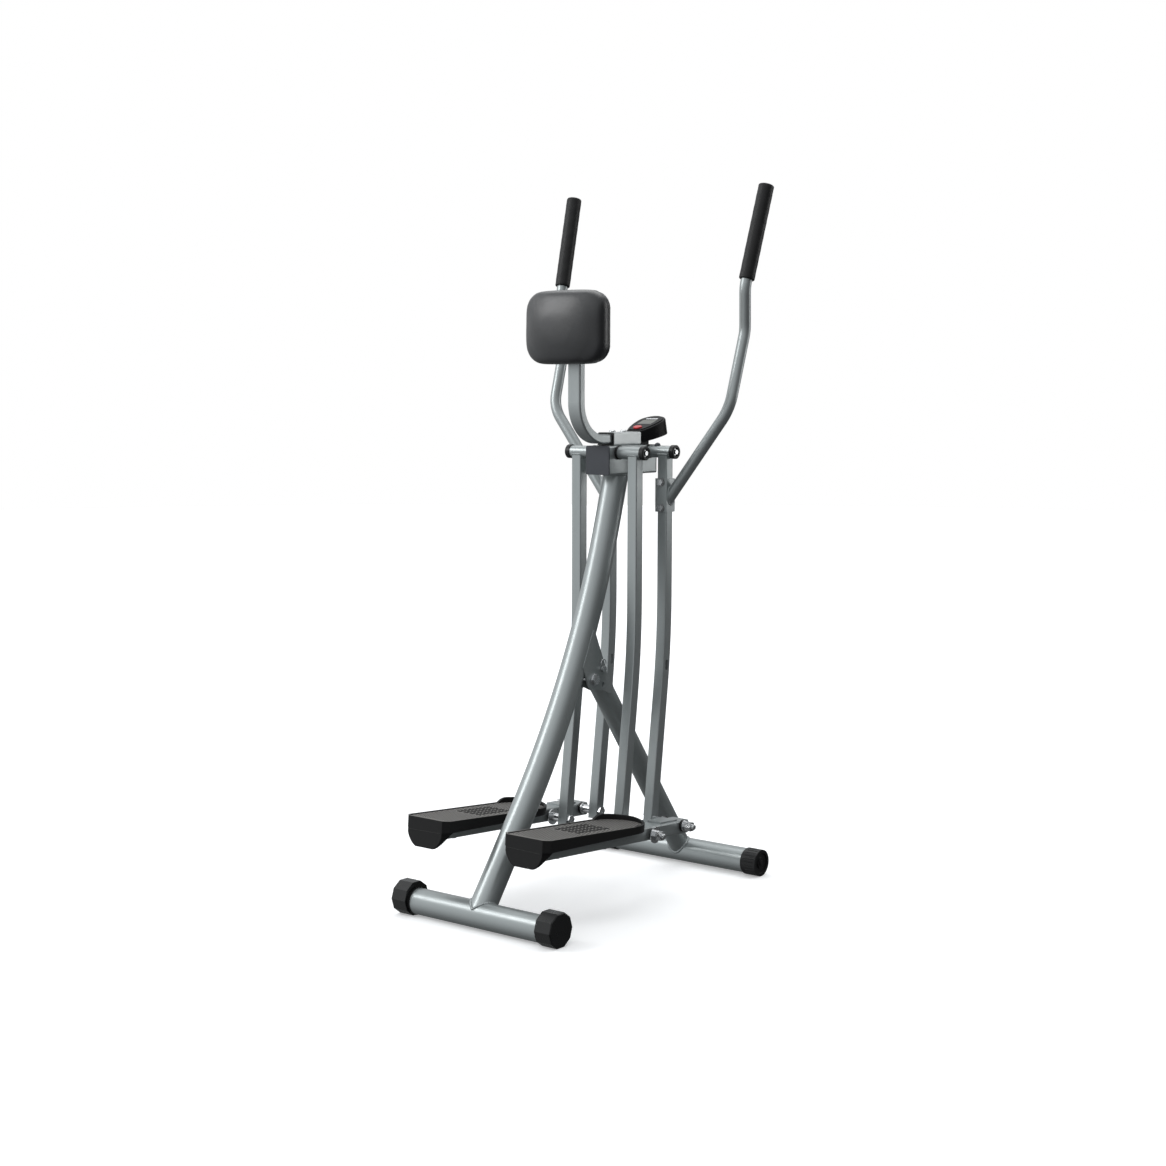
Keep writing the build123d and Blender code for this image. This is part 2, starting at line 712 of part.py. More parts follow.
def pedal_bar():
    """Right pedal bar: flat tube closed at the front, with pivot holes and a saddle plate on top."""
    length = bar_rear_reach + bar_front_reach
    hollow = Rectangle(bar_width - 2 * bar_wall, bar_height - 2 * bar_wall)
    bar = bar_envelope(0) - extrude(bar_section(-bar_rear_reach) * hollow, length - bar_wall)
    saddle = bar_section(bar_front_reach - bar_saddle_inset - bar_saddle_length)
    saddle *= Pos(0, -(bar_height + bar_saddle_thickness) / 2)
    bar += extrude(saddle * Rectangle(bar_width - 2 * bar_corner, bar_saddle_thickness), bar_saddle_length)
    for y in (rear_pivot_y, front_pivot_y):
        bore = pedal_bush_diameter + 2 * running_fit
        bar -= rod(bore, bar_stand - bar_width, bar_stand + bar_width, y, pivot_z)
    for place in pedal_bolt_planes():
        bar -= extrude(place.offset(-bar_height) * Circle(pedal_bolt_diameter / 2 + slip_fit), 3 * bar_height)
    return bar


def across_pedal(points):
    """Side profile (v, w) of the footplate run through its whole width."""
    deck = pedal_plane()
    section = Plane(origin=deck.origin, x_dir=deck.y_dir, z_dir=deck.x_dir)
    return extrude(section * make_face(Polyline(*points, close=True)), pedal_width, both=True)


def skirt_depth(station):
    """Depth of the footplate's tapering skirt, at a length from its rear edge."""
    share = (station + pedal_wall) / (pedal_length + 2 * pedal_wall)
    return pedal_skirt_heel + (pedal_skirt_toe - pedal_skirt_heel) * share


def heel_sweep(reach):
    """Side of the footplate's heel block, whose front hollows up into the skirt."""
    low = (pedal_block_length, -pedal_block_depth)
    high = (reach, -skirt_depth(reach))
    middle = ((low[0] + high[0]) / 2 - pedal_block_hollow, (low[1] + high[1]) / 2 + pedal_block_hollow)
    edges = Polyline(high, (reach, 0), (0, 0), (0, -pedal_block_depth), low)
    edges += ThreePointArc(low, middle, high)
    deck = pedal_plane()
    section = Plane(origin=deck.origin, x_dir=deck.y_dir, z_dir=deck.x_dir)
    return extrude(section * make_face(edges), pedal_width, both=True)


def pedal_outline():
    """Footplate seen from above: chamfered heel, straight sides, half-round toe."""
    half = pedal_width / 2
    heel = half - pedal_corner_chamfer
    straight = pedal_length - half
    sides = Polyline((-half, straight), (-half, pedal_corner_chamfer), (-heel, 0), (heel, 0),
                     (half, pedal_corner_chamfer), (half, straight))
    return make_face(sides + ThreePointArc((half, straight), (0, pedal_length), (-half, straight)))


def heel_outline():
    """Footplate's heel block seen from behind: straight shoulders, then sides that bulge in to a narrow foot."""
    heel = pedal_width / 2 - pedal_corner_chamfer
    foot = pedal_block_foot / 2
    shoulder = Vector(heel, -pedal_block_shoulder)
    toe = Vector(foot, -pedal_block_depth)
    out = (toe - shoulder).normalized().rotate(Axis.Z, 90)
    middle = (shoulder + toe) / 2 + out * pedal_block_bulge
    right = ThreePointArc(shoulder, middle, toe)
    left = mirror(right, about=Plane.YZ)
    top = Polyline((heel, -pedal_block_shoulder), (heel, -pedal_deck), (-heel, -pedal_deck),
                   (-heel, -pedal_block_shoulder))
    return make_face(top + right + left + Line((foot, -pedal_block_depth), (-foot, -pedal_block_depth)))


def toe_lip(left, right):
    """Lip round the right footplate's toe: it curves up from the deck and falls from one side to the other.

    The two numbers are its heights at the left and at the right side.
    """
    deck = pedal_plane()
    outline = pedal_outline()
    half = pedal_width / 2
    end = pedal_length + pedal_wall
    top = max(left, right)
    full = pedal_lip_start + pedal_lip_ramp
    profile = Polyline((full, top), (end, top), (end, 0), (pedal_lip_start, 0))
    profile += TangentArc((full, top), (pedal_lip_start, 0), tangent=(-1, 0))
    section = Plane(origin=deck.origin, x_dir=deck.y_dir, z_dir=deck.x_dir)
    rise = extrude(section * make_face(profile), pedal_width, both=True)
    back = Plane(origin=deck.origin, x_dir=deck.x_dir, z_dir=-deck.y_dir)
    middle = (0, (left + right + 2 * top) / 4)
    crest = make_face(Polyline((-half, 0), (-half, left), middle, (half, right), (half, 0), close=True))
    lip = extrude(deck * (outline - offset(outline, -pedal_lip_width)), top)
    lip = fillet(lip.faces().sort_by(Axis(deck.origin, deck.z_dir))[-1].edges(), pedal_lip_edge)
    return lip & rise & extrude(back * crest, -end)


def footplate(left_lip, right_lip):
    """Right footplate: hollow deck with tapering skirt, deep heel block, ribs, bosses, toe lip and tread.

    The two numbers are the toe lip's heights at its left and right sides.
    """
    deck = pedal_plane()
    outline = pedal_outline()
    inside = offset(outline, -pedal_wall)
    end = pedal_length + pedal_wall
    behind = -pedal_wall
    taper = across_pedal([(behind, -skirt_depth(behind)), (behind, 0), (end, 0), (end, -skirt_depth(end))])
    core = extrude(deck.offset(-pedal_deck) * inside, -pedal_skirt_heel) & taper
    plate = (extrude(deck * outline, -pedal_skirt_heel) & taper) - core

    plate += toe_lip(left_lip, right_lip)
    plate += extrude(deck * (outline - offset(outline, -pedal_rim_width)), pedal_rim_height)

    reach = pedal_block_length + pedal_block_sweep
    back = Plane(origin=deck.origin, x_dir=deck.x_dir, z_dir=-deck.y_dir)
    plate += extrude(back * heel_outline(), -reach) & heel_sweep(reach)

    pitch = (pedal_length - pedal_block_length) / (pedal_rib_count + 1)
    for index in range(pedal_rib_count):
        station = pedal_block_length + pitch * (index + 1)
        rib = extrude(deck * Pos(0, station) * Rectangle(pedal_width, pedal_rib_thickness), -pedal_skirt_heel)
        plate += rib & core
    for place in pedal_bolt_planes():
        boss = extrude(place * Circle(pedal_boss_diameter / 2), pedal_block_depth + pedal_skirt_heel)
        plate += boss & core
    plate -= bar_envelope(slip_fit)
    for place in pedal_bolt_planes():
        plate -= extrude(place * Circle(pedal_bolt_diameter / 2 + running_fit), bar_height + pedal_bolt_bite)
    plate = plate.solids().sort_by(SortBy.VOLUME)[-1]

    dashes = GridLocations(tread_column_pitch, tread_row_pitch, tread_columns, tread_rows)
    field = deck * Pos(0, tread_centre) * (Sketch() + dashes * Rectangle(tread_width, tread_length))
    return plate + extrude(field, tread_height)


def pedal_bolts():
    """Bolts that hold the right footplate down, put in from under the bar."""
    bolts = []
    for place in pedal_bolt_planes():
        head = RegularPolygon(pedal_bolt_head / 2, 6, major_radius=False)
        shank = extrude(place * Circle(pedal_bolt_diameter / 2), bar_height + pedal_bolt_bite - end_play)
        bolts.append(shank + extrude(place * head, -pedal_bolt_head_height))
    return group(*bolts)


def clamp_planes():
    """Planes on the rear face of the right handlebar clamp at its two bolts, looking forward."""
    reach = arm_side / 2 + slip_fit + clamp_wall
    middle = axle_z - clamp_drop
    heights = (middle - clamp_bolt_spacing / 2, middle + clamp_bolt_spacing / 2)
    y = front_axle_y - reach
    return [Plane(origin=(arm_stand, y, z), x_dir=(1, 0, 0), z_dir=(0, 1, 0)) for z in heights]


def clamp_box(reach):
    """Block round the right front arm at the handlebar's clamp, from its half side."""
    middle = axle_z - clamp_drop
    z0 = middle - clamp_length / 2
    z1 = middle + clamp_length / 2
    return block(arm_stand - reach, arm_stand + reach, front_axle_y - reach, front_axle_y + reach, z0, z1)


def handlebar_set():
    """Right handlebar: clamp sleeve on the front arm, its bolts, the bent tube and its foam grip."""
    inner = arm_side / 2 + slip_fit
    outer = inner + clamp_wall
    clamp = clamp_box(outer) - clamp_box(inner)
    bolts = []
    for place in clamp_planes():
        clamp -= extrude(place.offset(-outer) * Circle(clamp_bolt_diameter / 2 + slip_fit), 4 * outer)
        far = place.offset(2 * outer)
        washer = extrude(place * Circle(clamp_washer_diameter / 2), -washer_thickness)
        head = RegularPolygon(clamp_bolt_head / 2, 6, major_radius=False)
        bolt = washer + extrude(place.offset(-washer_thickness) * head, -clamp_bolt_head_height)
        bolt += extrude(place * Circle(clamp_bolt_diameter / 2), 2 * outer)
        bolt += extrude(far * head, clamp_bolt_head_height)
        bolts.append(bolt)

    corners = [
        (arm_stand, front_axle_y, axle_z - handle_foot_drop),
        (handle_elbow_out, front_axle_y + handle_elbow_forward, axle_z + handle_elbow_rise),
        (handle_knee_out, front_axle_y + handle_knee_forward, axle_z + handle_knee_rise),
        (grip_foot_out, front_axle_y + grip_foot_forward, axle_z + grip_foot_rise),
    ]
    top = Vector(grip_head_out, front_axle_y + grip_head_forward, axle_z + grip_head_rise)
    up = (top - Vector(*corners[-1])).normalized()
    end = top - up * grip_end_wall
    path = FilletPolyline(*corners, end, radius=[handle_elbow_radius, handle_bend_radius, handle_bend_radius])
    tube = swept_tube(path, handle_diameter, handle_diameter - 2 * handle_wall) - clamp_box(outer)
    tube = tube.solids().sort_by(SortBy.VOLUME)[-1]

    grip = extrude(Plane(origin=top, z_dir=up) * Circle(grip_diameter / 2), -grip_length)
    grip = fillet(grip.faces().sort_by(Axis.Z)[-1].edges(), grip_edge)
    grip = fillet(grip.faces().sort_by(Axis.Z)[0].edges(), grip_edge / 2)
    grip -= extrude(Plane(origin=end, z_dir=up) * Circle(handle_diameter / 2 + running_fit), -grip_length)
    return {"handle_clamp": clamp, "handle_clamp_bolts": group(*bolts), "handlebar": tube, "grip": grip}


def pad_face(y, inset, corner):
    """Rounded rectangle square to Y, drawn in from the pad's widest outline."""
    plane = Plane(origin=(0, y, pad_centre_z), x_dir=(1, 0, 0), z_dir=(0, -1, 0))
    return plane * RectangleRounded(pad_width - 2 * inset, pad_height - 2 * inset, corner)


def post_path():
    """Centre line of the pad's post, from behind the pad down and forward into the socket."""
    low = (post_y, post_z + post_bend_radius)
    level = (post_y + post_bend_radius, post_z)
    bend = CenterArc((level[0], low[1]), post_bend_radius, 180, 90)
    end = (socket_y0 + post_insert, post_z)
    return Plane.YZ * (Line((post_y, post_z + post_height), low) + bend + Line(level, end))


def belly_pad():
    """Crowned cushion on its board, the steel plate and post behind it, the post's socket and liner."""
    waist = pad_face(pad_board_y, pad_draw_in, pad_corner - pad_draw_in)
    widest = pad_face(pad_board_y - pad_widest, 0, pad_corner)
    front = pad_face(pad_board_y - pad_thickness, pad_lean_in, pad_corner - pad_lean_in)
    cushion = loft([waist, widest], ruled=True) + loft([widest, front], ruled=True)
    crown_radius = (pad_width ** 2 / 4 + pad_crown ** 2) / (2 * pad_crown)
    cushion &= Pos(0, pad_board_y - pad_thickness + crown_radius, pad_centre_z) * Sphere(crown_radius)
    crown = cushion.faces().filter_by(GeomType.SPHERE)[0]
    cushion = fillet(crown.edges(), pad_roll)
    board = extrude(pad_face(pad_plate_y, pad_board_inset, pad_corner - pad_board_inset), pad_board_thickness)

    half = (pad_plate_width / 2, pad_plate_height / 2)
    plate_back = pad_plate_y + pad_plate_thickness
    plate = block(-half[0], half[0], pad_plate_y, plate_back, pad_centre_z - half[1], pad_centre_z + half[1])
    screws = []
    spots = GridLocations(pad_plate_width - 2 * pad_screw_inset, pad_plate_height - 2 * pad_screw_inset, 2, 2)
    behind = Plane(origin=(0, plate_back, pad_centre_z), x_dir=(1, 0, 0), z_dir=(0, -1, 0))
    for spot in spots:
        place = behind * spot
        bite = pad_plate_thickness + pad_board_thickness - end_play
        screw = extrude(place * Circle(pad_screw_head / 2), -pad_screw_head_height)
        screws.append(screw + extrude(place * Circle(pad_screw_diameter / 2), bite - end_play))
        hole = extrude(place * Circle(pad_screw_diameter / 2 + running_fit), bite)
        plate -= hole
        board -= hole

    path = post_path()
    start = Plane(origin=path @ 0, x_dir=(1, 0, 0), z_dir=path % 0)
    post = sweep(start * RectangleRounded(post_width, post_depth, post_corner), path=path)
    bore = RectangleRounded(post_width - 2 * post_wall, post_depth - 2 * post_wall, post_corner - post_wall)
    post -= sweep(start * bore, path=path)

    mouth = Plane(origin=(0, socket_y0, post_z), x_dir=(1, 0, 0), z_dir=(0, 1, 0))
    gap = liner_wall + slip_fit
    room = RectangleRounded(post_width + 2 * gap, post_depth + 2 * gap, post_corner)
    shell = RectangleRounded(socket_width, socket_height, post_corner)
    socket = extrude(mouth * (shell - room), socket_length)
    fit = RectangleRounded(post_width + slip_fit, post_depth + slip_fit, post_corner)
    sleeve = RectangleRounded(post_width + 2 * gap - slip_fit, post_depth + 2 * gap - slip_fit, post_corner)
    liner = extrude(mouth * (sleeve - fit), liner_depth) + extrude(mouth * (shell - fit), -liner_flange)

    bolts = []
    top = post_z + socket_height / 2
    for inset in (post_bolt_inset, post_bolt_inset + post_bolt_spacing):
        place = Plane(origin=(0, socket_y0 + inset, top), x_dir=(1, 0, 0), z_dir=(0, 0, 1))
        head = extrude(place * Circle(post_bolt_head / 2), post_bolt_head_height)
        head = fillet(head.faces().sort_by(Axis.Z)[-1].edges(), post_bolt_edge)
        depth = socket_wall + gap + post_wall + post_bolt_bite
        bolts.append(head + extrude(place * Circle(post_bolt_diameter / 2), -depth))
        hole = extrude(place * Circle(post_bolt_diameter / 2 + slip_fit), -depth)
        socket -= hole
        liner -= hole
        post -= hole
    return {
        "pad_cushion": cushion,
        "pad_board": board,
        "pad_plate": plate,
        "pad_screws": group(*screws),
        "pad_post": post,
        "post_socket": socket,
        "socket_liner": liner,
        "post_bolts": group(*bolts),
    }


def console_plane(height):
    """Plane of the console's underside, tilted up toward the front, raised by a height."""
    tilt = math.radians(console_tilt)
    near = socket_y1 + end_play + console_near_height * math.sin(tilt)
    origin = (0, near, head_z1 + console_lift)
    return Plane(origin=origin, x_dir=(1, 0, 0), z_dir=(0, -math.sin(tilt), math.cos(tilt))).offset(height)


def console_face(depth):
    """Plane of the console's face, steeper than its underside, lowered by a depth."""
    tilt = math.radians(console_face_tilt)
    origin = console_plane(console_near_height).origin
    return Plane(origin=origin, x_dir=(1, 0, 0), z_dir=(0, -math.sin(tilt), math.cos(tilt))).offset(-depth)


def under_face(depth):
    """Everything under the console's face, from a depth."""
    return extrude(console_face(depth) * Rectangle(4 * console_length, 4 * console_length), -4 * console_length)


def console_outline():
    """Console seen from above: a drop with a blunt near end and a half-round far end."""
    half = console_width / 2
    nose = console_nose_width / 2
    widest = console_length - half
    right = TangentArc((half, widest), (nose, 0), tangent=(0, -1))
    left = mirror(right, about=Plane.YZ)
    far = ThreePointArc((half, widest), (0, console_length), (-half, widest))
    drop = make_face(right + left + far + Line((nose, 0), (-nose, 0)))
    return fillet(drop.vertices().group_by(Axis.Y)[0], console_nose_corner)


def console():
    """Console: hollow shell with raised face, window and button hole, tray on a foot, lens, board and cell."""
    outline = console_outline()
    inside = offset(outline, -console_wall)
    joint = console_plane(console_base_height)
    face = console_face(0)
    roof = console_panel_rise + console_wall
    rim = extrude(joint * outline, console_length) & under_face(console_panel_rise)
    rim = fillet(rim.faces().sort_by(Axis(face.origin, face.z_dir))[-1].edges(), console_edge)
    panel = extrude(joint * offset(outline, -console_panel_inset), console_length) & under_face(0)
    shell = rim + panel - (extrude(joint * inside, console_length) & under_face(roof))
    window = face * Pos(0, lens_station)
    view = Rectangle(lens_width - 2 * lens_ledge, lens_length - 2 * lens_ledge)
    shell -= extrude(window * Rectangle(lens_width, lens_length), -lens_depth)
    shell -= extrude(window * view, -roof)
    press = face * Pos(0, button_station)
    hole = Ellipse(button_width / 2 + slip_fit, button_length / 2 + slip_fit)
    shell -= extrude(press * hole, -roof)
    lens = extrude(window * Rectangle(lens_width - slip_fit, lens_length - slip_fit), -lens_depth)

    lip = console_face(roof + slip_fit) * Pos(0, button_station)
    button = extrude(lip * Ellipse(button_width / 2, button_length / 2), roof + slip_fit + button_proud)
    button = fillet(button.faces().sort_by(Axis(face.origin, face.z_dir))[-1].edges(), button_edge)
    wide = Ellipse(button_width / 2 + button_lip, button_length / 2 + button_lip)
    button += extrude(lip * wide, -button_flange)

    floor = console_plane(console_wall)
    tray = extrude(console_plane(0) * outline, console_base_height)
    tray -= extrude(floor * inside, console_base_height)
    posts = GridLocations(board_width - 2 * board_post_inset, board_length - 2 * board_post_inset, 2, 2)
    post_field = floor * Pos(0, board_station) * (Sketch() + posts * Circle(board_post_diameter / 2))
    tray += extrude(post_field, board_height - console_wall)
    ribs = GridLocations(cell_rib_spacing, 0, 2, 1)
    rib = Rectangle(cell_rib_thickness, cell_rib_width)
    rib_field = floor * Pos(0, cell_station) * (Sketch() + ribs * rib)
    tray += extrude(rib_field, cell_rib_height)
    cell_end = floor * Pos(-cell_length / 2, cell_station, cell_diameter / 2)
    cell_axis = Plane(origin=cell_end.position, z_dir=(1, 0, 0))
    cell = extrude(cell_axis * Circle(cell_diameter / 2), cell_length)
    tray -= extrude(cell_axis.offset(-cell_length) * Circle(cell_diameter / 2 + running_fit), 3 * cell_length)
    under = console_plane(0) * Pos(0, console_length / 2) * Rectangle(4 * console_length, 4 * console_length)
    foot_y = console_plane(0).origin.Y + console_foot_inset
    half = console_foot_width / 2
    foot = block(-half, half, foot_y, foot_y + console_foot_length, head_z1, head_z1 + console_length)
    tray += foot - extrude(under, 2 * console_length)

    bed = console_plane(board_height) * Pos(0, board_station)
    board = extrude(bed * Rectangle(board_width, board_length), board_thickness)
    stud = Plane(press) * Circle(switch_diameter / 2)
    stud = extrude(stud, -console_length) & under_face(roof + slip_fit + button_flange + button_travel + slip_fit)
    board += stud - extrude(console_plane(board_height) * Rectangle(4 * console_length, 4 * console_length),
                            -console_length)
    return {
        "console_shell": shell,
        "console_tray": tray,
        "console_lens": lens,
        "console_board": board,
        "console_cell": cell,
        "console_button": button,
    }


def right_side():
    """Pieces of the user's right swing, from the arms to the footplate."""
    pieces = {
        "rear_arm": swing_arm(rear_axle_y, False),
        "rear_arm_bushes": arm_bushes(rear_axle_y),
        "rear_pivot_bolt": pivot_hardware(rear_pivot_y, rear_pivot_washer_diameter),
        "front_arm": swing_arm(front_axle_y, True),
        "front_arm_bushes": arm_bushes(front_axle_y),
        "front_pivot_bolt": pivot_hardware(front_pivot_y, front_pivot_washer_diameter),
        "pedal_bar": pedal_bar(),
        "pedal_bushes": pedal_bushes(),
        "pedal_bolts": pedal_bolts(),
        "footplate": footplate(pedal_lip_height, pedal_lip_low),
        "rear_cap": levelling_cap(),
        "roller": roller_set()[0],
    }
    pieces.update(handlebar_set())
    return pieces


nodes = {}
nodes.update(frame_tubes())
nodes.update(front_leg())
nodes.update(fold_hinge())
nodes.update(axles())
nodes.update(belly_pad())
nodes.update(console())
hub, screw = roller_set()[1:3]
nodes["roller_hubs"] = group(hub, mirrored(hub))
nodes["roller_screws"] = group(screw, mirrored(screw))
for piece, shape in right_side().items():
    nodes["right_" + piece] = shape
    nodes["left_" + piece] = mirrored(shape)
nodes["left_footplate"] = mirrored(footplate(pedal_lip_low, pedal_lip_height))

os.makedirs("parts", exist_ok=True)
for node, shape in nodes.items():
    export_step(shape, f"parts/{node}.step")
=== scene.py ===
"""Looks of a folding air walker: finishes, belly pad, foam grips, tread, welds and the studio."""
import json
import logging
import math
from dataclasses import dataclass
from enum import Enum
from typing import ClassVar, Iterable, Sequence

import bmesh
import bpy
from mathutils import Matrix, Vector

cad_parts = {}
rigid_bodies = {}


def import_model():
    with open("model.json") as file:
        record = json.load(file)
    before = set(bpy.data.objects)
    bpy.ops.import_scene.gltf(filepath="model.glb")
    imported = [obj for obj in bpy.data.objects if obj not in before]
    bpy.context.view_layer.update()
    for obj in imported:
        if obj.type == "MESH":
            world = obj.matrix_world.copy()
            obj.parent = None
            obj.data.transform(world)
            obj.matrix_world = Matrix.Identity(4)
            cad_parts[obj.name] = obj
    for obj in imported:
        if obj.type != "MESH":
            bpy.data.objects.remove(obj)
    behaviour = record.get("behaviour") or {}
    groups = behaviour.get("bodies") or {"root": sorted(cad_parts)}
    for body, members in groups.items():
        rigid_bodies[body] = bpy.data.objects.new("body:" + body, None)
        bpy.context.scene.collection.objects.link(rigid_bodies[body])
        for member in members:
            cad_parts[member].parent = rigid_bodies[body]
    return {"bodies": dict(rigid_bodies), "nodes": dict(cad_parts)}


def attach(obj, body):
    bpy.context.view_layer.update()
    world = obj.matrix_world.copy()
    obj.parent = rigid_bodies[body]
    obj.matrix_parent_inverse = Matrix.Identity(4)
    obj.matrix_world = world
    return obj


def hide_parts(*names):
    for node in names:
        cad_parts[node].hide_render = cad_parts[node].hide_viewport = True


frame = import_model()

log = logging.getLogger("air_walker")

Triple = tuple[float, float, float]
Socket = bpy.types.NodeSocket
Feed = float | Triple | Socket
Pair = tuple[float, float]
Face = tuple[int, ...]
Strip = tuple[list[Vector], list[Face]]

X_AXIS: Triple = (1.0, 0.0, 0.0)
Y_AXIS: Triple = (0.0, 1.0, 0.0)
Z_AXIS: Triple = (0.0, 0.0, 1.0)


class Side(Enum):
    """The user's two sides."""

    RIGHT = "right"
    LEFT = "left"

    @property
    def sign(self) -> float:
        """Sign of X on this side."""
        return 1.0 if self is Side.RIGHT else -1.0


class Slot(Enum):
    """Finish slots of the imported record."""

    FRAME_PAINT = "frame_paint"
    ZINC_STEEL = "zinc_steel"
    BLACK_PLASTIC = "black_plastic"
    CAP_PLASTIC = "cap_plastic"
    FOOTPLATE_PLASTIC = "footplate_plastic"
    SLATE_PLASTIC = "slate_plastic"
    GRIP_FOAM = "grip_foam"
    PAD_COVER = "pad_cover"
    PAD_WOOD = "pad_wood"
    CONSOLE_PLASTIC = "console_plastic"
    CONSOLE_GLASS = "console_glass"
    BUTTON_PLASTIC = "button_plastic"
    BOARD_RESIN = "board_resin"
    CELL_CAN = "cell_can"


class NodeGraph:
    """Node tree, with short calls for the nodes that the finishes and the studio share."""

    def __init__(self, tree: bpy.types.NodeTree, coordinates: str) -> None:
        """Starts on a tree, with the texture coordinates that its patterns follow."""
        self.nodes, self.links = tree.nodes, tree.links
        self.place = self.add("TexCoord", coordinates)

    def feed(self, socket: Socket, value: Feed) -> None:
        """Links an output to a socket, or sets the socket's own value.

        Args:
            socket: Input to fill.
            value: Output, number, vector or colour.
        """
        if isinstance(value, bpy.types.NodeSocket):
            self.links.new(value, socket)
        elif isinstance(value, tuple) and socket.type == "RGBA":
            socket.default_value = (*value, 1.0)
        else:
            socket.default_value = value

    def add(self, kind: str, output: str | int, inputs: dict[str | int, Feed] | None = None,
            **settings: str | int) -> Socket:
        """Adds a node.

        Args:
            kind: Its type, without the word ShaderNode.
            output: Which output to read.
            inputs: What its inputs are fed with.
            settings: Its own settings.

        Returns:
            The chosen output.
        """
        node = self.nodes.new(f"ShaderNode{kind}")
        for key, value in settings.items():
            setattr(node, key, value)
        for key, value in (inputs or {}).items():
            self.feed(node.inputs[key], value)
        return node.outputs[output]

    def maths(self, operation: str, *values: Feed) -> Socket:
        """Result of a maths node, with its inputs in order."""
        return self.add("Math", "Value", dict(enumerate(values)), operation=operation)

    def both(self, first: Socket, second: Socket) -> Socket:
        """Product of two masks."""
        return self.maths("MULTIPLY", first, second)

    def sum(self, first: Socket, second: Socket, weight: float) -> Socket:
        """A first value and a weighted second."""
        return self.maths("MULTIPLY_ADD", second, weight, first)

    def along(self, line: Triple, place: Socket | None = None) -> Socket:
        """How far a vector, or else the shaded point, reaches along a unit direction."""
        return self.add("VectorMath", "Value", {0: place or self.place, 1: line}, operation="DOT_PRODUCT")

    def stretched(self, scale: Triple) -> Socket:
        """Coordinates scaled by axis, for grain that runs one way."""
        return self.add("VectorMath", "Vector", {0: self.place, 1: scale}, operation="MULTIPLY")

    def noise(self, scale: float, detail: float, place: Socket | None = None) -> Socket:
        """Cloudy noise from 0 to 1, with its features per metre and its octaves."""
        return self.add("TexNoise", "Fac", {"Scale": scale, "Detail": detail, "Vector": place or self.place})

    def cells(self, scale: float, feature: str = "F1", output: str = "Distance") -> Socket:
        """Output of a cellular pattern, with its cells per metre and its Voronoi feature."""
        return self.add("TexVoronoi", output, {"Scale": scale, "Vector": self.place}, feature=feature)

    def span(self, value: Socket, low: float, high: float, start: float = 0.0, end: float = 1.0,
             blend: str = "LINEAR") -> Socket:
        """Maps a value's range from start to end onto low to high, clamped."""
        ends = {"From Min": start, "From Max": end, "To Min": low, "To Max": high}
        return self.add("MapRange", "Result", {"Value": value, **ends}, interpolation_type=blend)

    def step(self, value: Socket, start: float, end: float) -> Socket:
        """Mask that rises from 0 to 1 between two values."""
        return self.span(value, 0.0, 1.0, start, end)

    def fall(self, value: Socket, start: float, end: float) -> Socket:
        """Mask that falls from 1 to 0 between two values."""
        return self.span(value, 1.0, 0.0, start, end)

    def tint(self, factor: Socket, first: Triple | Socket, second: Triple | Socket) -> Socket:
        """Mixes two colours by a factor; sockets 6 and 7 of the node take colours."""
        return self.add("Mix", 2, {0: factor, 6: first, 7: second}, data_type="RGBA")


class FinishGraph(NodeGraph):
    """Node tree of one material, with its shader."""

    def __init__(self, name: str) -> None:
        """Starts a material that follows object coordinates.

        Args:
            name: Name of the material.
        """
        self.material = bpy.data.materials.new(name)
        self.material.use_nodes = True
        super().__init__(self.material.node_tree, "Object")
        self.shader = self.nodes["Principled BSDF"]

    def set(self, **values: Feed) -> None:
        """Sets or links the shader's sockets, named in lower case with underscores."""
        for key, value in values.items():
            self.feed(self.shader.inputs[key.replace("_", " ").title().replace("Ior", "IOR")], value)

    def rough(self, cloud: Socket, middle: float, below: float, above: float) -> None:
        """Lets the roughness follow noise, from below a middle value to above it."""
        self.set(roughness=self.span(cloud, middle - below, middle + above))

    def relief(self, height: Socket, depth: float, edge: float = 0.0) -> None:
        """Gives the shader a bumped normal, over softened edges where asked.

        Args:
            height: Height from 0 to 1.
            depth: Depth in metres at a height of 1.
            edge: Radius of the softened edges, or 0.
        """
        inputs: dict[str | int, Feed] = {"Distance": depth, "Height": height}
        if edge:
            inputs["Normal"] = self.add("Bevel", 0, {"Radius": edge}, samples=4)
        self.set(normal=self.add("Bump", 0, inputs))


def lighter(colour: Triple, factor: float) -> Triple:
    """The colour times a factor."""
    return tuple(channel * factor for channel in colour)


@dataclass(frozen=True)
class DeckPlane:
    """Plane of the right footplate's deck, sloping down to the toe, and the bold tread's field on it."""

    heel: Pair = (-0.380738, 0.217852)
    pitch: float = math.radians(4.8)
    middle: float = 0.137
    bold_half: float = 0.0360
    bold_start: float = 0.1340
    bold_end: float = 0.2460

    def point(self, u: float, v: float, w: float) -> Triple:
        """Point on the deck.

        Args:
            u: Distance across, to the right of the middle.
            v: Distance forward from the rear edge.
            w: Height over the deck.

        Returns:
            The point.
        """
        level, slope = math.cos(self.pitch), math.sin(self.pitch)
        return (self.middle + u, self.heel[0] + v * level + w * slope, self.heel[1] - v * slope + w * level)

    def measure(self, graph: NodeGraph, line: Triple) -> Socket:
        """How far the shaded point is from the heel along a line."""
        return graph.maths("SUBTRACT", graph.along(line), self.heel[0] * line[1] + self.heel[1] * line[2])


@dataclass(frozen=True)
class Finish:
    """A finish that draws itself on a node graph."""

    name: str

    def draw(self, graph: FinishGraph) -> None:
        """Fills the graph."""
        raise NotImplementedError

    def material(self) -> bpy.types.Material:
        """The finish as a node material.

        Returns:
            The material.
        """
        graph = FinishGraph(self.name)
        self.draw(graph)
        return graph.material


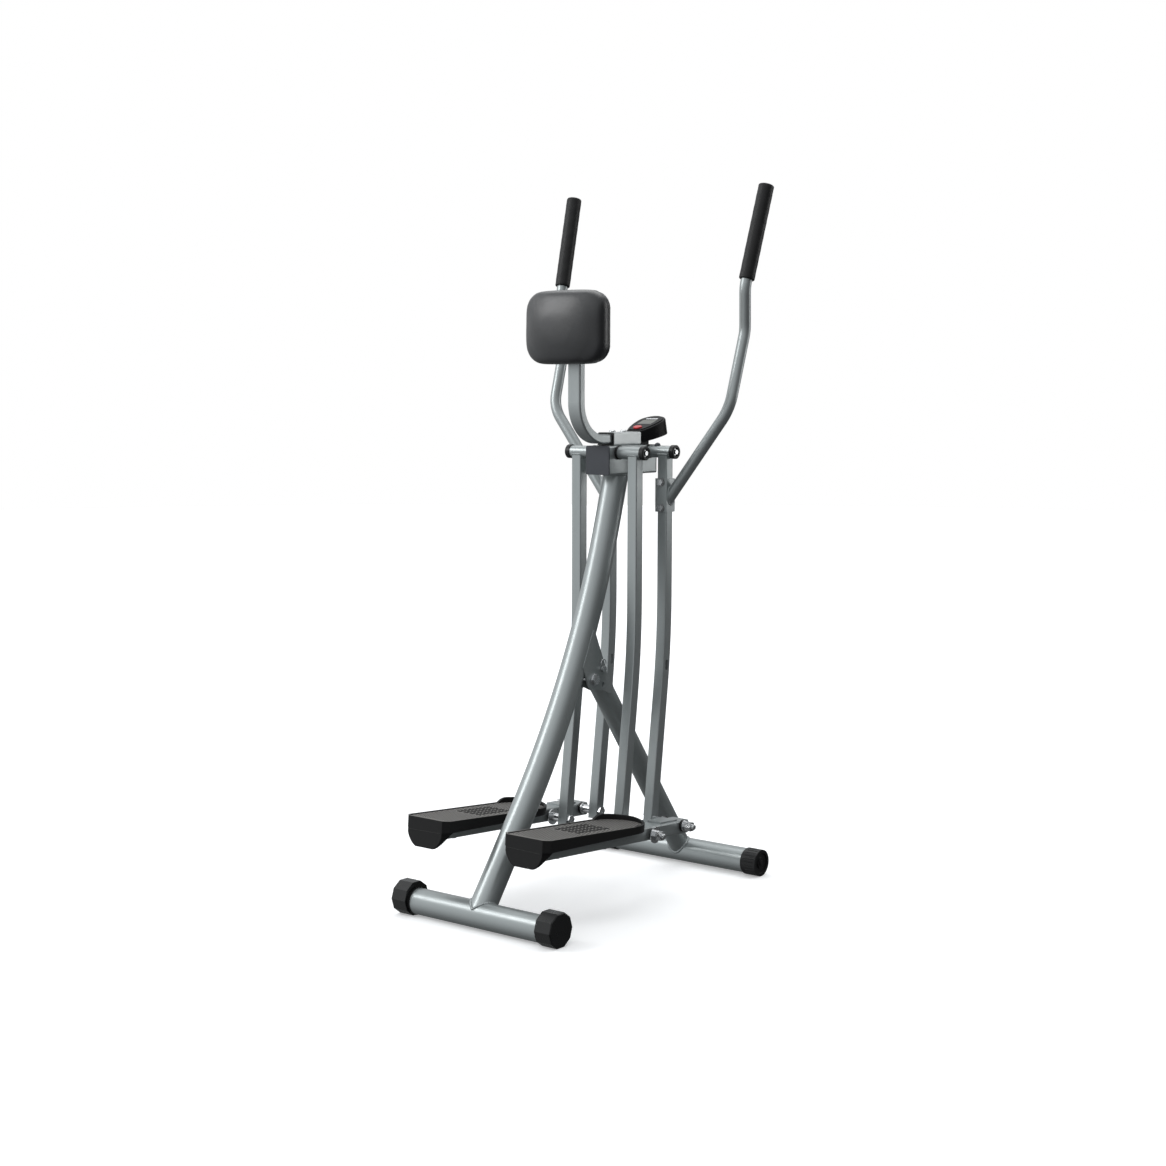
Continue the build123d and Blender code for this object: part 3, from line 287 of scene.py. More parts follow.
@dataclass(frozen=True)
class SilverPaint(Finish):
    """Silver-grey metallic coat, with fine flakes and the slight orange peel of a sprayed tube."""

    name: str = "silver_paint"
    colour: Triple = (0.335, 0.362, 0.364)
    roughness: float = 0.33
    metallic: float = 0.60
    edge: float = 0.0009
    flake: float = 2400.0
    peel: float = 260.0
    peel_depth: float = 0.00005

    def draw(self, graph: FinishGraph) -> None:
        """Draws flakes, cloudy patches and orange peel.

        Args:
            graph: Graph of the material.
        """
        flakes = graph.step(graph.cells(self.flake, output="Color"), 0.15, 0.95)
        coat = graph.tint(flakes, lighter(self.colour, 0.90), lighter(self.colour, 1.10))
        cloud = graph.span(graph.noise(5.5, 4.0), 0.0, 0.35, 0.35, 0.75)
        graph.set(base_color=graph.tint(cloud, coat, lighter(self.colour, 0.88)), metallic=self.metallic)
        graph.rough(graph.noise(42.0, 5.0), self.roughness, 0.05, 0.07)
        graph.set(coat_weight=0.22, coat_roughness=0.18)
        graph.relief(graph.noise(self.peel, 2.0), self.peel_depth, self.edge)


@dataclass(frozen=True)
class BrightSteel(Finish):
    """Zinc-plated steel of bolts, nuts, axles and pins, with turning marks and dull patches."""

    name: str = "bright_zinc"
    colour: Triple = (0.68, 0.69, 0.70)
    roughness: float = 0.20
    edge: float = 0.0006
    mark_depth: float = 0.00003

    def draw(self, graph: FinishGraph) -> None:
        """Draws dull patches and turning marks.

        Args:
            graph: Graph of the material.
        """
        patches = graph.step(graph.noise(120.0, 4.0), 0.35, 0.7)
        graph.set(base_color=graph.tint(patches, lighter(self.colour, 0.82), self.colour), metallic=1.0)
        graph.rough(graph.noise(480.0, 3.0), self.roughness, 0.05, 0.14)
        turning = graph.noise(40.0, 2.0, graph.stretched((60.0, 2.0, 2.0)))
        graph.relief(turning, self.mark_depth, self.edge)


@dataclass(frozen=True)
class MouldedPlastic(Finish):
    """Moulded plastic with a spark-eroded grain and slightly uneven gloss."""

    colour: Triple
    roughness: float
    grain: float = 1500.0
    depth: float = 0.00006
    edge: float = 0.0007
    coat: float = 0.0
    specular: float = 0.34

    def draw(self, graph: FinishGraph) -> None:
        """Draws cloudy colour, uneven gloss and grain.

        Args:
            graph: Graph of the material.
        """
        cloud = graph.step(graph.noise(14.0, 4.0), 0.3, 0.75)
        graph.set(base_color=graph.tint(cloud, lighter(self.colour, 0.86), lighter(self.colour, 1.16)))
        graph.set(coat_weight=self.coat, coat_roughness=0.12)
        self.draw_skin(graph)

    def draw_skin(self, graph: FinishGraph) -> None:
        """Draws the gloss and the grain.

        Args:
            graph: Graph of the material.
        """
        graph.rough(graph.noise(65.0, 5.0), self.roughness, 0.06, 0.08)
        graph.set(specular_ior_level=self.specular)
        grain = graph.sum(graph.cells(self.grain), graph.noise(self.grain * 0.45, 3.0), 0.8)
        graph.relief(grain, self.depth, self.edge)


@dataclass(frozen=True)
class FootplatePlastic(MouldedPlastic):
    """Black moulded footplate: painted light makes the deck's upward faces paler, in patches, with a darker
    bold tread and a coarse grain.
    """

    colour: Triple = (0.0080, 0.0080, 0.0082)
    roughness: float = 0.50
    grain: float = 900.0
    depth: float = 0.00011
    edge: float = 0.0009
    specular: float = 0.22
    side: Side = Side.RIGHT
    # Paler colour of the deck's upward faces: painted light, as if lit from above.
    top: Triple = (0.158, 0.151, 0.143)
    tread: Triple = (0.0055, 0.0053, 0.0052)
    blend: float = 0.0005
    plane: DeckPlane = DeckPlane()

    def draw(self, graph: FinishGraph) -> None:
        """Draws walls, a top paler with painted light, and tread, told apart by height over the deck and by
        the way a face looks.

        Args:
            graph: Graph of the material.
        """
        plane, blend = self.plane, self.blend
        level, slope = math.cos(plane.pitch), math.sin(plane.pitch)
        station = plane.measure(graph, (0.0, level, -slope))
        height = plane.measure(graph, (0.0, slope, level))
        beside = graph.maths("SUBTRACT", graph.along(X_AXIS), plane.middle * self.side.sign)
        across = graph.maths("ABSOLUTE", beside)
        field = graph.both(graph.step(station, plane.bold_start - 2.0 * blend, plane.bold_start - blend),
                           graph.fall(station, plane.bold_end + blend, plane.bold_end + 2.0 * blend))
        field = graph.both(field, graph.fall(across, plane.bold_half - blend, plane.bold_half))
        raised = graph.both(field, graph.step(height, 0.0002, 0.0004))
        # Painted light: faces that point up take the paler top colour, varied in noise patches.
        painted_top_light_mask = graph.step(graph.along(Z_AXIS, graph.add("NewGeometry", "True Normal")), 0.75, 0.97)
        # The toe lip stands over the deck and keeps the walls' black.
        painted_top_light_mask = graph.both(painted_top_light_mask, graph.fall(height, 0.0018, 0.0030))
        top_patches = graph.span(graph.noise(26.0, 5.0), 0.82, 1.0, 0.3, 0.7)
        pale = graph.tint(top_patches, lighter(self.top, 0.75), self.top)
        graph.set(base_color=graph.tint(raised, graph.tint(painted_top_light_mask, self.colour, pale), self.tread))
        self.draw_skin(graph)


@dataclass(frozen=True)
class PadCover(Finish):
    """Black leatherette with a pebbled grain, drawn tight over foam."""

    name: str = "pad_leatherette"
    colour: Triple = (0.0080, 0.0090, 0.0114)
    roughness: float = 0.36
    pebble: float = 520.0
    depth: float = 0.00010

    def draw(self, graph: FinishGraph) -> None:
        """Draws creases between pebbles, darkened with painted shade, and worn patches.

        Args:
            graph: Graph of the material.
        """
        crease_height_and_shade = graph.step(graph.cells(self.pebble, "DISTANCE_TO_EDGE"), 0.0, 0.28)
        worn = graph.span(graph.noise(18.0, 5.0), 0.0, 0.5, 0.4, 0.75)
        # Painted shade: the creases between pebbles are darker than the pebbles.
        skin = graph.tint(crease_height_and_shade, lighter(self.colour, 0.55), self.colour)
        graph.set(base_color=graph.tint(worn, skin, lighter(self.colour, 1.45)))
        graph.rough(graph.noise(30.0, 4.0), self.roughness, 0.05, 0.08)
        graph.set(coat_weight=0.45, coat_roughness=0.30)
        graph.relief(graph.sum(crease_height_and_shade, graph.noise(1300.0, 3.0), 0.35), self.depth)


@dataclass(frozen=True)
class GripFoam(Finish):
    """Closed-cell black foam with a skin of fine pores."""

    name: str = "grip_foam"
    colour: Triple = (0.0068, 0.0068, 0.0072)
    roughness: float = 0.43
    pores: float = 1250.0
    depth: float = 0.00009

    def draw(self, graph: FinishGraph) -> None:
        """Draws pores, darkened with painted shade, in a cloudy skin.

        Args:
            graph: Graph of the material.
        """
        pores = graph.step(graph.cells(self.pores, "SMOOTH_F1"), 0.05, 0.55)
        cloud = graph.noise(38.0, 4.0)
        skin = graph.tint(cloud, lighter(self.colour, 0.7), lighter(self.colour, 1.5))
        # Painted shade: the pores are darker than the skin round them.
        graph.set(base_color=graph.tint(pores, lighter(self.colour, 0.5), skin))
        graph.rough(cloud, self.roughness, 0.05, 0.10)
        graph.set(specular_ior_level=0.32, sheen_weight=0.02, sheen_roughness=0.4)
        graph.relief(graph.sum(pores, graph.noise(420.0, 3.0), 0.7), self.depth)


@dataclass(frozen=True)
class PadWood(Finish):
    """Poplar plywood of the pad's board, bare on its back."""

    name: str = "poplar_plywood"
    early: Triple = (0.46, 0.31, 0.17)
    late: Triple = (0.30, 0.18, 0.085)
    depth: float = 0.00012

    def draw(self, graph: FinishGraph) -> None:
        """Draws grain and fibre that run across the pad.

        Args:
            graph: Graph of the material.
        """
        grain = graph.noise(9.0, 6.0, graph.stretched((1.0, 22.0, 9.0)))
        fibre = graph.noise(90.0, 4.0, graph.stretched((0.6, 8.0, 10.0)))
        streak = graph.step(graph.sum(grain, fibre, 0.35), 0.45, 0.95)
        graph.set(base_color=graph.tint(streak, self.early, self.late))
        graph.set(roughness=graph.span(fibre, 0.55, 0.78))
        graph.relief(fibre, self.depth)


@dataclass(frozen=True)
class DisplayFilm(Finish):
    """Unlit liquid-crystal display behind a clear window: dark olive, clouded paler."""

    name: str = "display_window"
    dark: Triple = (0.020, 0.022, 0.012)
    pale: Triple = (0.062, 0.066, 0.034)
    depth: float = 0.000008

    def draw(self, graph: FinishGraph) -> None:
        """Draws the clouded film under its clear coat.

        Args:
            graph: Graph of the material.
        """
        cloud = graph.step(graph.noise(30.0, 3.0), 0.35, 0.65)
        graph.set(base_color=graph.tint(cloud, self.dark, self.pale))
        graph.set(roughness=graph.span(graph.noise(160.0, 3.0), 0.07, 0.16))
        graph.set(coat_weight=0.6, coat_roughness=0.04)
        graph.relief(graph.noise(700.0, 2.0), self.depth)


@dataclass(frozen=True)
class ClampBoltSteel(Finish):
    """Zinc bolts whose washers behind the clamp, between two places on Y, are black."""

    washer_low: float
    washer_high: float
    steel: Triple = (0.68, 0.69, 0.70)
    black: Triple = (0.012, 0.012, 0.013)
    blend: float = 0.00005
    depth: float = 0.00003
    edge: float = 0.0006

    def draw(self, graph: FinishGraph) -> None:
        """Draws patchy steel, and black over the washers.

        Args:
            graph: Graph of the material.
        """
        y = graph.along(Y_AXIS)
        washer = graph.both(graph.step(y, self.washer_low - self.blend, self.washer_low + self.blend),
                            graph.fall(y, self.washer_high - self.blend, self.washer_high + self.blend))
        bright = graph.tint(graph.noise(140.0, 4.0), lighter(self.steel, 0.8), self.steel)
        graph.set(base_color=graph.tint(washer, bright, self.black))
        graph.set(metallic=graph.span(washer, 1.0, 0.0), roughness=graph.span(washer, 0.24, 0.45))
        graph.relief(graph.noise(900.0, 3.0), self.depth, self.edge)


def put_on(piece: bpy.types.Object, material: bpy.types.Material) -> None:
    """Gives an object one material.

    Args:
        piece: Object to dress.
        material: Its material.
    """
    if piece.data.materials:
        piece.data.materials[0] = material
    else:
        piece.data.materials.append(material)


def link_object(name: str, data: bpy.types.ID) -> bpy.types.Object:
    """Adds an object to the scene.

    Args:
        name: Name of the object.
        data: Its mesh, lamp or camera.

    Returns:
        The object.
    """
    thing = bpy.data.objects.new(name, data)
    bpy.context.scene.collection.objects.link(thing)
    return thing


class FinishShelf:
    """The finishes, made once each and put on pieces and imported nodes."""

    def __init__(self) -> None:
        """Makes one material for each slot of the record."""
        black = (0.0080, 0.0080, 0.0088)
        finishes: dict[Slot, Finish] = {
            Slot.FRAME_PAINT: SilverPaint(),
            Slot.ZINC_STEEL: BrightSteel(),
            Slot.BLACK_PLASTIC: MouldedPlastic("black_nylon", black, 0.36),
            Slot.CAP_PLASTIC: MouldedPlastic("cap_black", (0.0075, 0.0078, 0.0082), 0.27, coat=0.12),
            Slot.FOOTPLATE_PLASTIC: MouldedPlastic(
                "footplate_black", (0.0150, 0.0145, 0.0140), 0.47, grain=900.0, depth=0.00011),
            Slot.SLATE_PLASTIC: MouldedPlastic("slate_plug", (0.052, 0.056, 0.066), 0.48),
            Slot.GRIP_FOAM: GripFoam(),
            Slot.PAD_COVER: PadCover(),
            Slot.PAD_WOOD: PadWood(),
            Slot.CONSOLE_PLASTIC: MouldedPlastic("console_black", black, 0.33, specular=0.08),
            Slot.CONSOLE_GLASS: DisplayFilm(),
            Slot.BUTTON_PLASTIC: MouldedPlastic("button_red", (0.50, 0.016, 0.020), 0.26, coat=0.4),
            Slot.BOARD_RESIN: MouldedPlastic("board_green", (0.020, 0.095, 0.040), 0.40),
            Slot.CELL_CAN: BrightSteel("cell_can", (0.55, 0.47, 0.30), 0.28),
        }
        self.by_slot = {slot: finish.material() for slot, finish in finishes.items()}

    def dress(self, slot: Slot, nodes: Iterable[str]) -> None:
        """Puts a slot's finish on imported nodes.

        Args:
            slot: Slot of the finish.
            nodes: Names of the nodes.
        """
        for node in nodes:
            put_on(frame["nodes"][node], self.by_slot[slot])
            log.info("dressed %s in %s", node, slot.value)

    def add_piece(self, mesh: bpy.types.Mesh, body: str, slot: Slot) -> bpy.types.Object:
        """Links a mesh, under its own name, as a piece that rides on a body.

        Args:
            mesh: Mesh in the frame of the part.
            body: Body that carries the piece.
            slot: Slot that it takes its finish from.

        Returns:
            The piece.
        """
        piece = link_object(mesh.name, mesh)
        put_on(piece, self.by_slot[slot])
        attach(piece, body)
        log.info("built %s on %s: %d faces", piece.name, body, len(mesh.polygons))
        return piece


def soften(mesh: bpy.types.Mesh, crease: float) -> None:
    """Shades a mesh smooth, with sharp edges over an angle.

    Args:
        mesh: Mesh to shade.
        crease: Angle in degrees over which an edge stays sharp.
    """
    work = bmesh.new()
    work.from_mesh(mesh)
    bmesh.ops.recalc_face_normals(work, faces=work.faces)
    for face in work.faces:
        face.smooth = True
    for edge in work.edges:
        if len(edge.link_faces) == 2:
            edge.smooth = edge.calc_face_angle(0.0) < math.radians(crease)
    work.to_mesh(mesh)
    work.free()


def make_mesh(name: str, points: Sequence[Vector], faces: Sequence[Face], crease: float) -> bpy.types.Mesh:
    """Mesh from points and faces, shaded smooth.

    Args:
        name: Name of the mesh.
        points: Points in metres.
        faces: Indices of each face's points.
        crease: Angle in degrees over which an edge stays sharp.

    Returns:
        The mesh.
    """
    mesh = bpy.data.meshes.new(name)
    mesh.from_pydata([tuple(point) for point in points], [], faces)
    mesh.update()
    soften(mesh, crease)
    return mesh


def turns(count: int) -> list[float]:
    """Evenly spaced angles round a full turn."""
    return [math.tau * step / count for step in range(count)]


def circle(count: int) -> list[Pair]:
    """Cosine and sine of evenly spaced angles round a full turn."""
    return [(math.cos(turn), math.sin(turn)) for turn in turns(count)]


def square_to(axis: Vector) -> tuple[Vector, Vector]:
    """Two unit directions square to an axis and to each other."""
    first = axis.cross(Vector(Y_AXIS)).normalized()
    return first, axis.cross(first)


def along_loop(points: Sequence[Vector], spacing: float = 1.0, count: int = 0) -> list[Vector]:
    """Evenly spaced points along a closed line.

    Args:
        points: Corners of the line.
        spacing: Wanted distance between points.
        count: Number of points, or 0 to go by the spacing.

    Returns:
        The spaced points.
    """
    loop = [*points, points[0]]
    lengths = [(b - a).length for a, b in zip(loop, loop[1:])]
    total = sum(lengths)
    count = count or max(3, round(total / spacing))
    spaced: list[Vector] = []
    index, passed = 0, 0.0
    for number in range(count):
        target = total * number / count
        while index < len(lengths) - 1 and passed + lengths[index] < target:
            passed += lengths[index]
            index += 1
        share = (target - passed) / lengths[index] if lengths[index] else 0.0
        spaced.append(loop[index].lerp(loop[index + 1], min(share, 1.0)))
    return spaced


def ring_strip(rings: Sequence[Sequence[Vector]], closed: bool = False, start_cap: bool = False,
               end_cap: bool = False) -> Strip:
    """Points and faces of a tube of rings.

    Args:
        rings: Rings with the same number of points each.
        closed: Whether the last ring joins the first.
        start_cap: Whether a face closes the first ring.
        end_cap: Whether a face closes the last ring.

    Returns:
        The points and the faces.
    """
    sides = len(rings[0])
    points = [point for ring in rings for point in ring]
    faces: list[Face] = []
    for row in range(len(rings) if closed else len(rings) - 1):
        after = (row + 1) % len(rings)
        for side in range(sides):
            turn = (side + 1) % sides
            faces.append((row * sides + side, row * sides + turn, after * sides + turn, after * sides + side))
    if start_cap:
        faces.append(tuple(reversed(range(sides))))
    if end_cap:
        faces.append(tuple(range(len(points) - sides, len(points))))
    return points, faces


def joined(strips: Iterable[Strip]) -> Strip:
    """Several strips as one.

    Args:
        strips: Points and faces of each.

    Returns:
        All points and faces.
    """
    points: list[Vector] = []
    faces: list[Face] = []
    for more, strip in strips:
        faces += [tuple(index + len(points) for index in face) for face in strip]
        points += more
    return points, faces


@dataclass(frozen=True)
class WeldBead:
    """A welded bead: overlapping ripples laid along a closed seam."""

    radius: float = 0.0026
    ripple: float = 0.0030
    sides: int = 8
    rings_each: int = 4
    crease: float = 60.0

    def thickness(self, index: int) -> float:
        """Radius at a ring: round over each ripple, and a little uneven along the seam.

        Args:
            index: Number of the ring.

        Returns:
            The radius.
        """
        phase = (index % self.rings_each) / self.rings_each
        swell = self.radius * (0.80 + 0.24 * math.sqrt(max(0.0, 1.0 - (2.0 * phase - 1.0) ** 2)))
        return swell * (1.0 + 0.05 * math.sin(index * 0.37) + 0.03 * math.sin(index * 1.13))

    def mesh(self, name: str, seam: Sequence[Vector]) -> bpy.types.Mesh:
        """Mesh of the bead along a seam.

        Args:
            name: Name of the mesh.
            seam: Points of the closed seam.

        Returns:
            The mesh.
        """
        line = along_loop(seam, self.ripple / self.rings_each)
        rings: list[list[Vector]] = []
        # Any direction that no seam runs along will do to start from.
        normal = Vector((0.3, 0.5, 0.81)).normalized()
        for index, point in enumerate(line):
            tangent = (line[(index + 1) % len(line)] - line[index - 1]).normalized()
            normal = (normal - tangent * normal.dot(tangent)).normalized()
            across = tangent.cross(normal)
            swell = self.thickness(index)
            rings.append([point + (normal * c + across * s) * swell for c, s in circle(self.sides)])
        return make_mesh(name, *ring_strip(rings, closed=True), self.crease)


class SubAssembly:
    """Part of the machine: the finishes that its nodes wear, and the pieces that it builds."""

    worn: ClassVar[dict[Slot, str]]
    prefix = ""
    shelf: FinishShelf

    def dress(self) -> None:
        """Puts its finish on each node."""
        for slot, nodes in self.worn.items():
            self.shelf.dress(slot, [self.prefix + node for node in nodes.split()])


@dataclass
class MainFrame(SubAssembly):
    """Rear base, main tube, head box, hinge and front leg, with the welds between them."""

    worn: ClassVar[dict[Slot, str]] = {
        Slot.FRAME_PAINT: "rear_base_tube main_tube head_box hinge_cheeks front_leg_tube front_base_tube"
                          " pad_post pad_plate",
        Slot.ZINC_STEEL: "pivot_axles axle_end_bolts hinge_bolt lock_pin post_bolts pad_screws",
        Slot.SLATE_PLASTIC: "head_end_plugs",
        Slot.BLACK_PLASTIC: "roller_hubs roller_screws socket_liner right_roller left_roller",
        Slot.CAP_PLASTIC: "right_rear_cap left_rear_cap",
    }
    shelf: FinishShelf
    rear_axis: Vector = Vector((0.0, -0.363573, 0.0305))
    front_axis: Vector = Vector((0.0, 0.370427, 0.031))
    base_radius: float = 0.0285
    main_radius: float = 0.0285
    leg_radius: float = 0.025
    main_lean: float = 36.0
    top_lean: float = 16.0
    head_under: float = 0.937025
    head_sink: float = 0.0006
    main_top: float = 0.103008
    hinge: Vector = Vector((0.0, -0.011078, 0.489053))
    leg_set: float = 0.034
    saddle_steps: int = 96
    head_steps: int = 72
    base_bead: WeldBead = WeldBead(0.0030, 0.0034)
    head_bead: WeldBead = WeldBead()

    def dress(self) -> None:
        """Puts finishes on the frame's and the leg's nodes, with a paler paint on the pad post's socket."""
        super().dress()
        socket_paint = SilverPaint("socket_silver", (0.56, 0.59, 0.59), 0.36, 0.45)
        put_on(frame["nodes"]["post_socket"], socket_paint.material())

    def saddle(self, foot: Vector, up: Vector, radius: float) -> list[Vector]:
        """Seam where a round tube stands on a base tube along X.

        Args:
            foot: Point where the two axes meet.
            up: Direction of the standing tube.
            radius: Radius of the standing tube.

        Returns:
            Points of the closed seam.
        """
        front = Vector(X_AXIS).cross(up)
        seam: list[Vector] = []
        for c, s in circle(self.saddle_steps):
            reach = radius * s
            rise = math.sqrt(max(self.base_radius ** 2 - reach ** 2, 0.0))
            seam.append(foot + up * rise + front * reach + Vector((radius * c, 0.0, 0.0)))
        return seam

    def build(self) -> None:
        """Lays the weld beads on the two base tubes and under the head box."""
        span = self.hinge - self.front_axis
        main_angle = math.radians(90.0 - self.main_lean)
        leg_angle = math.atan2(span.z, span.y) - math.asin(self.leg_set / span.length)
        for name, foot, angle, radius, body in (
                ("rear_base_weld", self.rear_axis, main_angle, self.main_radius, "frame"),
                ("front_base_weld", self.front_axis, leg_angle, self.leg_radius, "front_leg")):
            seam = self.saddle(foot, Vector((0.0, math.cos(angle), math.sin(angle))), radius)
            self.shelf.add_piece(self.base_bead.mesh(name, seam), body, Slot.FRAME_PAINT)
        stretch = 1.0 / math.cos(math.radians(self.top_lean))
        ring = [
            Vector((self.main_radius * c, self.main_top + self.main_radius * stretch * s,
                    self.head_under - self.head_sink))
            for c, s in circle(self.head_steps)
        ]
        self.shelf.add_piece(self.head_bead.mesh("head_box_weld", ring), "frame", Slot.FRAME_PAINT)


@dataclass(frozen=True)
class FineTread:
    """Rows of fine raised dashes on a deck, left out round the bold tread in its middle."""

    plane: DeckPlane = DeckPlane()
    deck_half: float = 0.06025
    deck_length: float = 0.373
    margin: float = 0.0085
    rows: int = 40
    first_row: float = 0.024
    row_pitch: float = 0.0085
    columns: int = 15
    column_pitch: float = 0.0070
    dash_half: Pair = (0.00115, 0.0024)
    dash_sides: int = 8
    dash_layers: tuple[Pair, ...] = ((-0.0003, 1.0), (0.00042, 0.86), (0.00065, 0.50))

    def spots(self) -> list[Pair]:
        """Middles of the dashes, across and forward on the deck.

        Returns:
            Distance across and forward of each.
        """
        inner = self.deck_half - self.margin
        straight = self.deck_length - self.deck_half
        found: list[Pair] = []
        for row in range(self.rows):
            v = self.first_row + row * self.row_pitch
            shift = self.column_pitch / 2 if row % 2 else 0.0
            for column in range(self.columns):
                u = (column - self.columns // 2) * self.column_pitch + shift
                outside = abs(u) > inner or math.hypot(u, max(0.0, v - straight)) > inner
                bold = abs(u) < self.plane.bold_half and self.plane.bold_start < v < self.plane.bold_end
                if not (outside or bold):
                    found.append((u, v))
        return found

    def dash(self, u: float, v: float, sign: float) -> Strip:
        """Points and faces of one dash, domed and open below.

        Args:
            u: Middle across the deck.
            v: Middle along the deck.
            sign: Sign of X on the footplate's side.

        Returns:
            The points and the faces.
        """
        wide, long = self.dash_half
        rings: list[list[Vector]] = []
        for height, scale in self.dash_layers:
            ring = [self.plane.point(u + wide * scale * c, v + long * scale * s, height)
                    for c, s in circle(self.dash_sides)]
            rings.append([Vector((x * sign, y, z)) for x, y, z in ring])
        return ring_strip(rings, end_cap=True)


@dataclass
class SwingSide(SubAssembly):
    """One swing: its arms, handlebar, grip, pedal bar and footplate, with welds, tread and mould line.

    Places in elbow, clamp_foot, grip_top and grip_foot are X, and Y and Z from the front axle.
    """

    worn: ClassVar[dict[Slot, str]] = {
        Slot.FRAME_PAINT: "rear_arm front_arm handle_clamp handlebar pedal_bar",
        Slot.ZINC_STEEL: "rear_pivot_bolt front_pivot_bolt pedal_bolts",
        Slot.BLACK_PLASTIC: "rear_arm_bushes front_arm_bushes pedal_bushes",
    }
    side: Side
    shelf: FinishShelf
    plane: DeckPlane = DeckPlane()
    tread: FineTread = FineTread()
    bead: WeldBead = WeldBead(0.0021, 0.0027)
    arm_stand: float = 0.078
    arm_half: float = 0.0125
    arm_steps: int = 12
    sleeve_radius: float = 0.0135
    sleeve_sink: float = 0.0004
    axle_height: float = 0.986025
    rear_axle: float = 0.070508
    front_axle: float = 0.183508
    clamp_half: float = 0.0158
    clamp_foot: Triple = (0.078, 0.0, -0.118)
    clamp_steps: int = 64
    elbow: Triple = (0.2465, 0.004, 0.097)
    washer_depth: float = 0.002
    handle_radius: float = 0.0127
    grip_top: Triple = (0.269, 0.108, 0.5855)
    grip_foot: Triple = (0.257, 0.045, 0.363)
    grip_radius: float = 0.0173
    grip_length: float = 0.216
    grip_steps: int = 48
    vent: tuple[Pair, ...] = ((0.0030, -0.0042), (0.0032, -0.0016), (0.0060, -0.0012))
    dish: Pair = (0.0042, -0.0004)
    top_roll: float = 0.0038
    foot_roll: float = 0.0030
    grip_waves: tuple[Triple, ...] = ((0.00014, 210.0, 2.0), (0.00010, 520.0, -3.0))
    line_half: float = 0.0445
    line_drop: float = 0.0255
    line_steps: int = 23
    line_wave: float = 0.0008
    line_size: Pair = (0.00050, 0.00055)
    sensor_stand: float = 0.0565
    sensor_radius: float = 0.0068
    sensor_skirt: float = 0.0030
    sensor_rise: float = 0.0066
    sensor_sides: int = 32

    @property
    def name(self) -> str:
        """Name of this side."""
        return self.side.value

    @property
    def prefix(self) -> str:
        """Start of the names of this side's nodes."""
        return f"{self.name}_"

    def point(self, x: float, y: float, z: float) -> Vector:
        """A point of the right side, put on this side."""
        return Vector((x * self.side.sign, y, z))

    def from_axle(self, place: Triple) -> Vector:
        """A place given from the front axle, on the right side."""
        return Vector((place[0], self.front_axle + place[1], self.axle_height + place[2]))

    def dress(self) -> None:
        """Puts finishes on this side's nodes, with their own on the footplate and the clamp bolts."""
        super().dress()
        own = self.name
        deck = FootplatePlastic(f"{own}_footplate_black", side=self.side)
        put_on(frame["nodes"][f"{own}_footplate"], deck.material())
        face = self.front_axle - self.clamp_half
        bolts = ClampBoltSteel(f"{own}_clamp_bolt_steel", face - self.washer_depth, face)
        put_on(frame["nodes"][f"{own}_handle_clamp_bolts"], bolts.material())

    def sleeve_seam(self, axle: float) -> list[Vector]:
        """Seam round the square arm where it meets its sleeve.

        Args:
            axle: Y of the sleeve's axis.

        Returns:
            Points of the closed seam.
        """
        half, steps = self.arm_half, self.arm_steps
        outline = [(-half, -half), (half, -half), (half, half), (-half, half)]
        flat: list[Pair] = []
        for (x0, y0), (x1, y1) in zip(outline, outline[1:] + outline[:1]):
            flat += [(x0 + (x1 - x0) * step / steps, y0 + (y1 - y0) * step / steps) for step in range(steps)]
        return [
            self.point(self.arm_stand + x, axle + y,
                       self.axle_height - math.sqrt(self.sleeve_radius ** 2 - y ** 2) - self.sleeve_sink)
            for x, y in flat
        ]

    def clamp_seam(self) -> list[Vector]:
        """Seam where the handlebar tube meets the clamp's outer face.

        Returns:
            Points of the closed seam.
        """
        foot = self.from_axle(self.clamp_foot)
        run = (self.from_axle(self.elbow) - foot).normalized()
        first, second = square_to(run)
        seam: list[Vector] = []
        for c, s in circle(self.clamp_steps):
            arm = (first * c + second * s) * self.handle_radius
            reach = (self.arm_stand + self.clamp_half - foot.x - arm.x) / run.x
            seam.append(self.point(*(foot + arm + run * reach)))
        return seam

    def grip_profile(self) -> list[Pair]:
        """Radius and height from the top: vent hole, dished top, rolled edge, side, rolled foot and bore.

        Returns:
            Radius and height of each ring.
        """
        radius, length, top, foot = self.grip_radius, self.grip_length, self.top_roll, self.foot_roll
        top_steps, side_steps, foot_steps = 6, 44, 5
        profile = [*self.vent, (radius - self.dish[0], self.dish[1])]
        for step in range(top_steps + 1):
            turn = math.pi / 2 * step / top_steps
            profile.append((radius - top + top * math.sin(turn), -top + top * math.cos(turn)))
        side = length - top - foot
        profile += [(radius, -top - side * step / side_steps) for step in range(1, side_steps)]
        for step in range(foot_steps + 1):
            turn = math.pi / 2 * step / foot_steps
            profile.append((radius - foot + foot * math.cos(turn), -length + foot - foot * math.sin(turn)))
        bore = self.handle_radius
        return profile + [(bore + 0.0003, -length), (bore + 0.0002, -length + 0.004)]

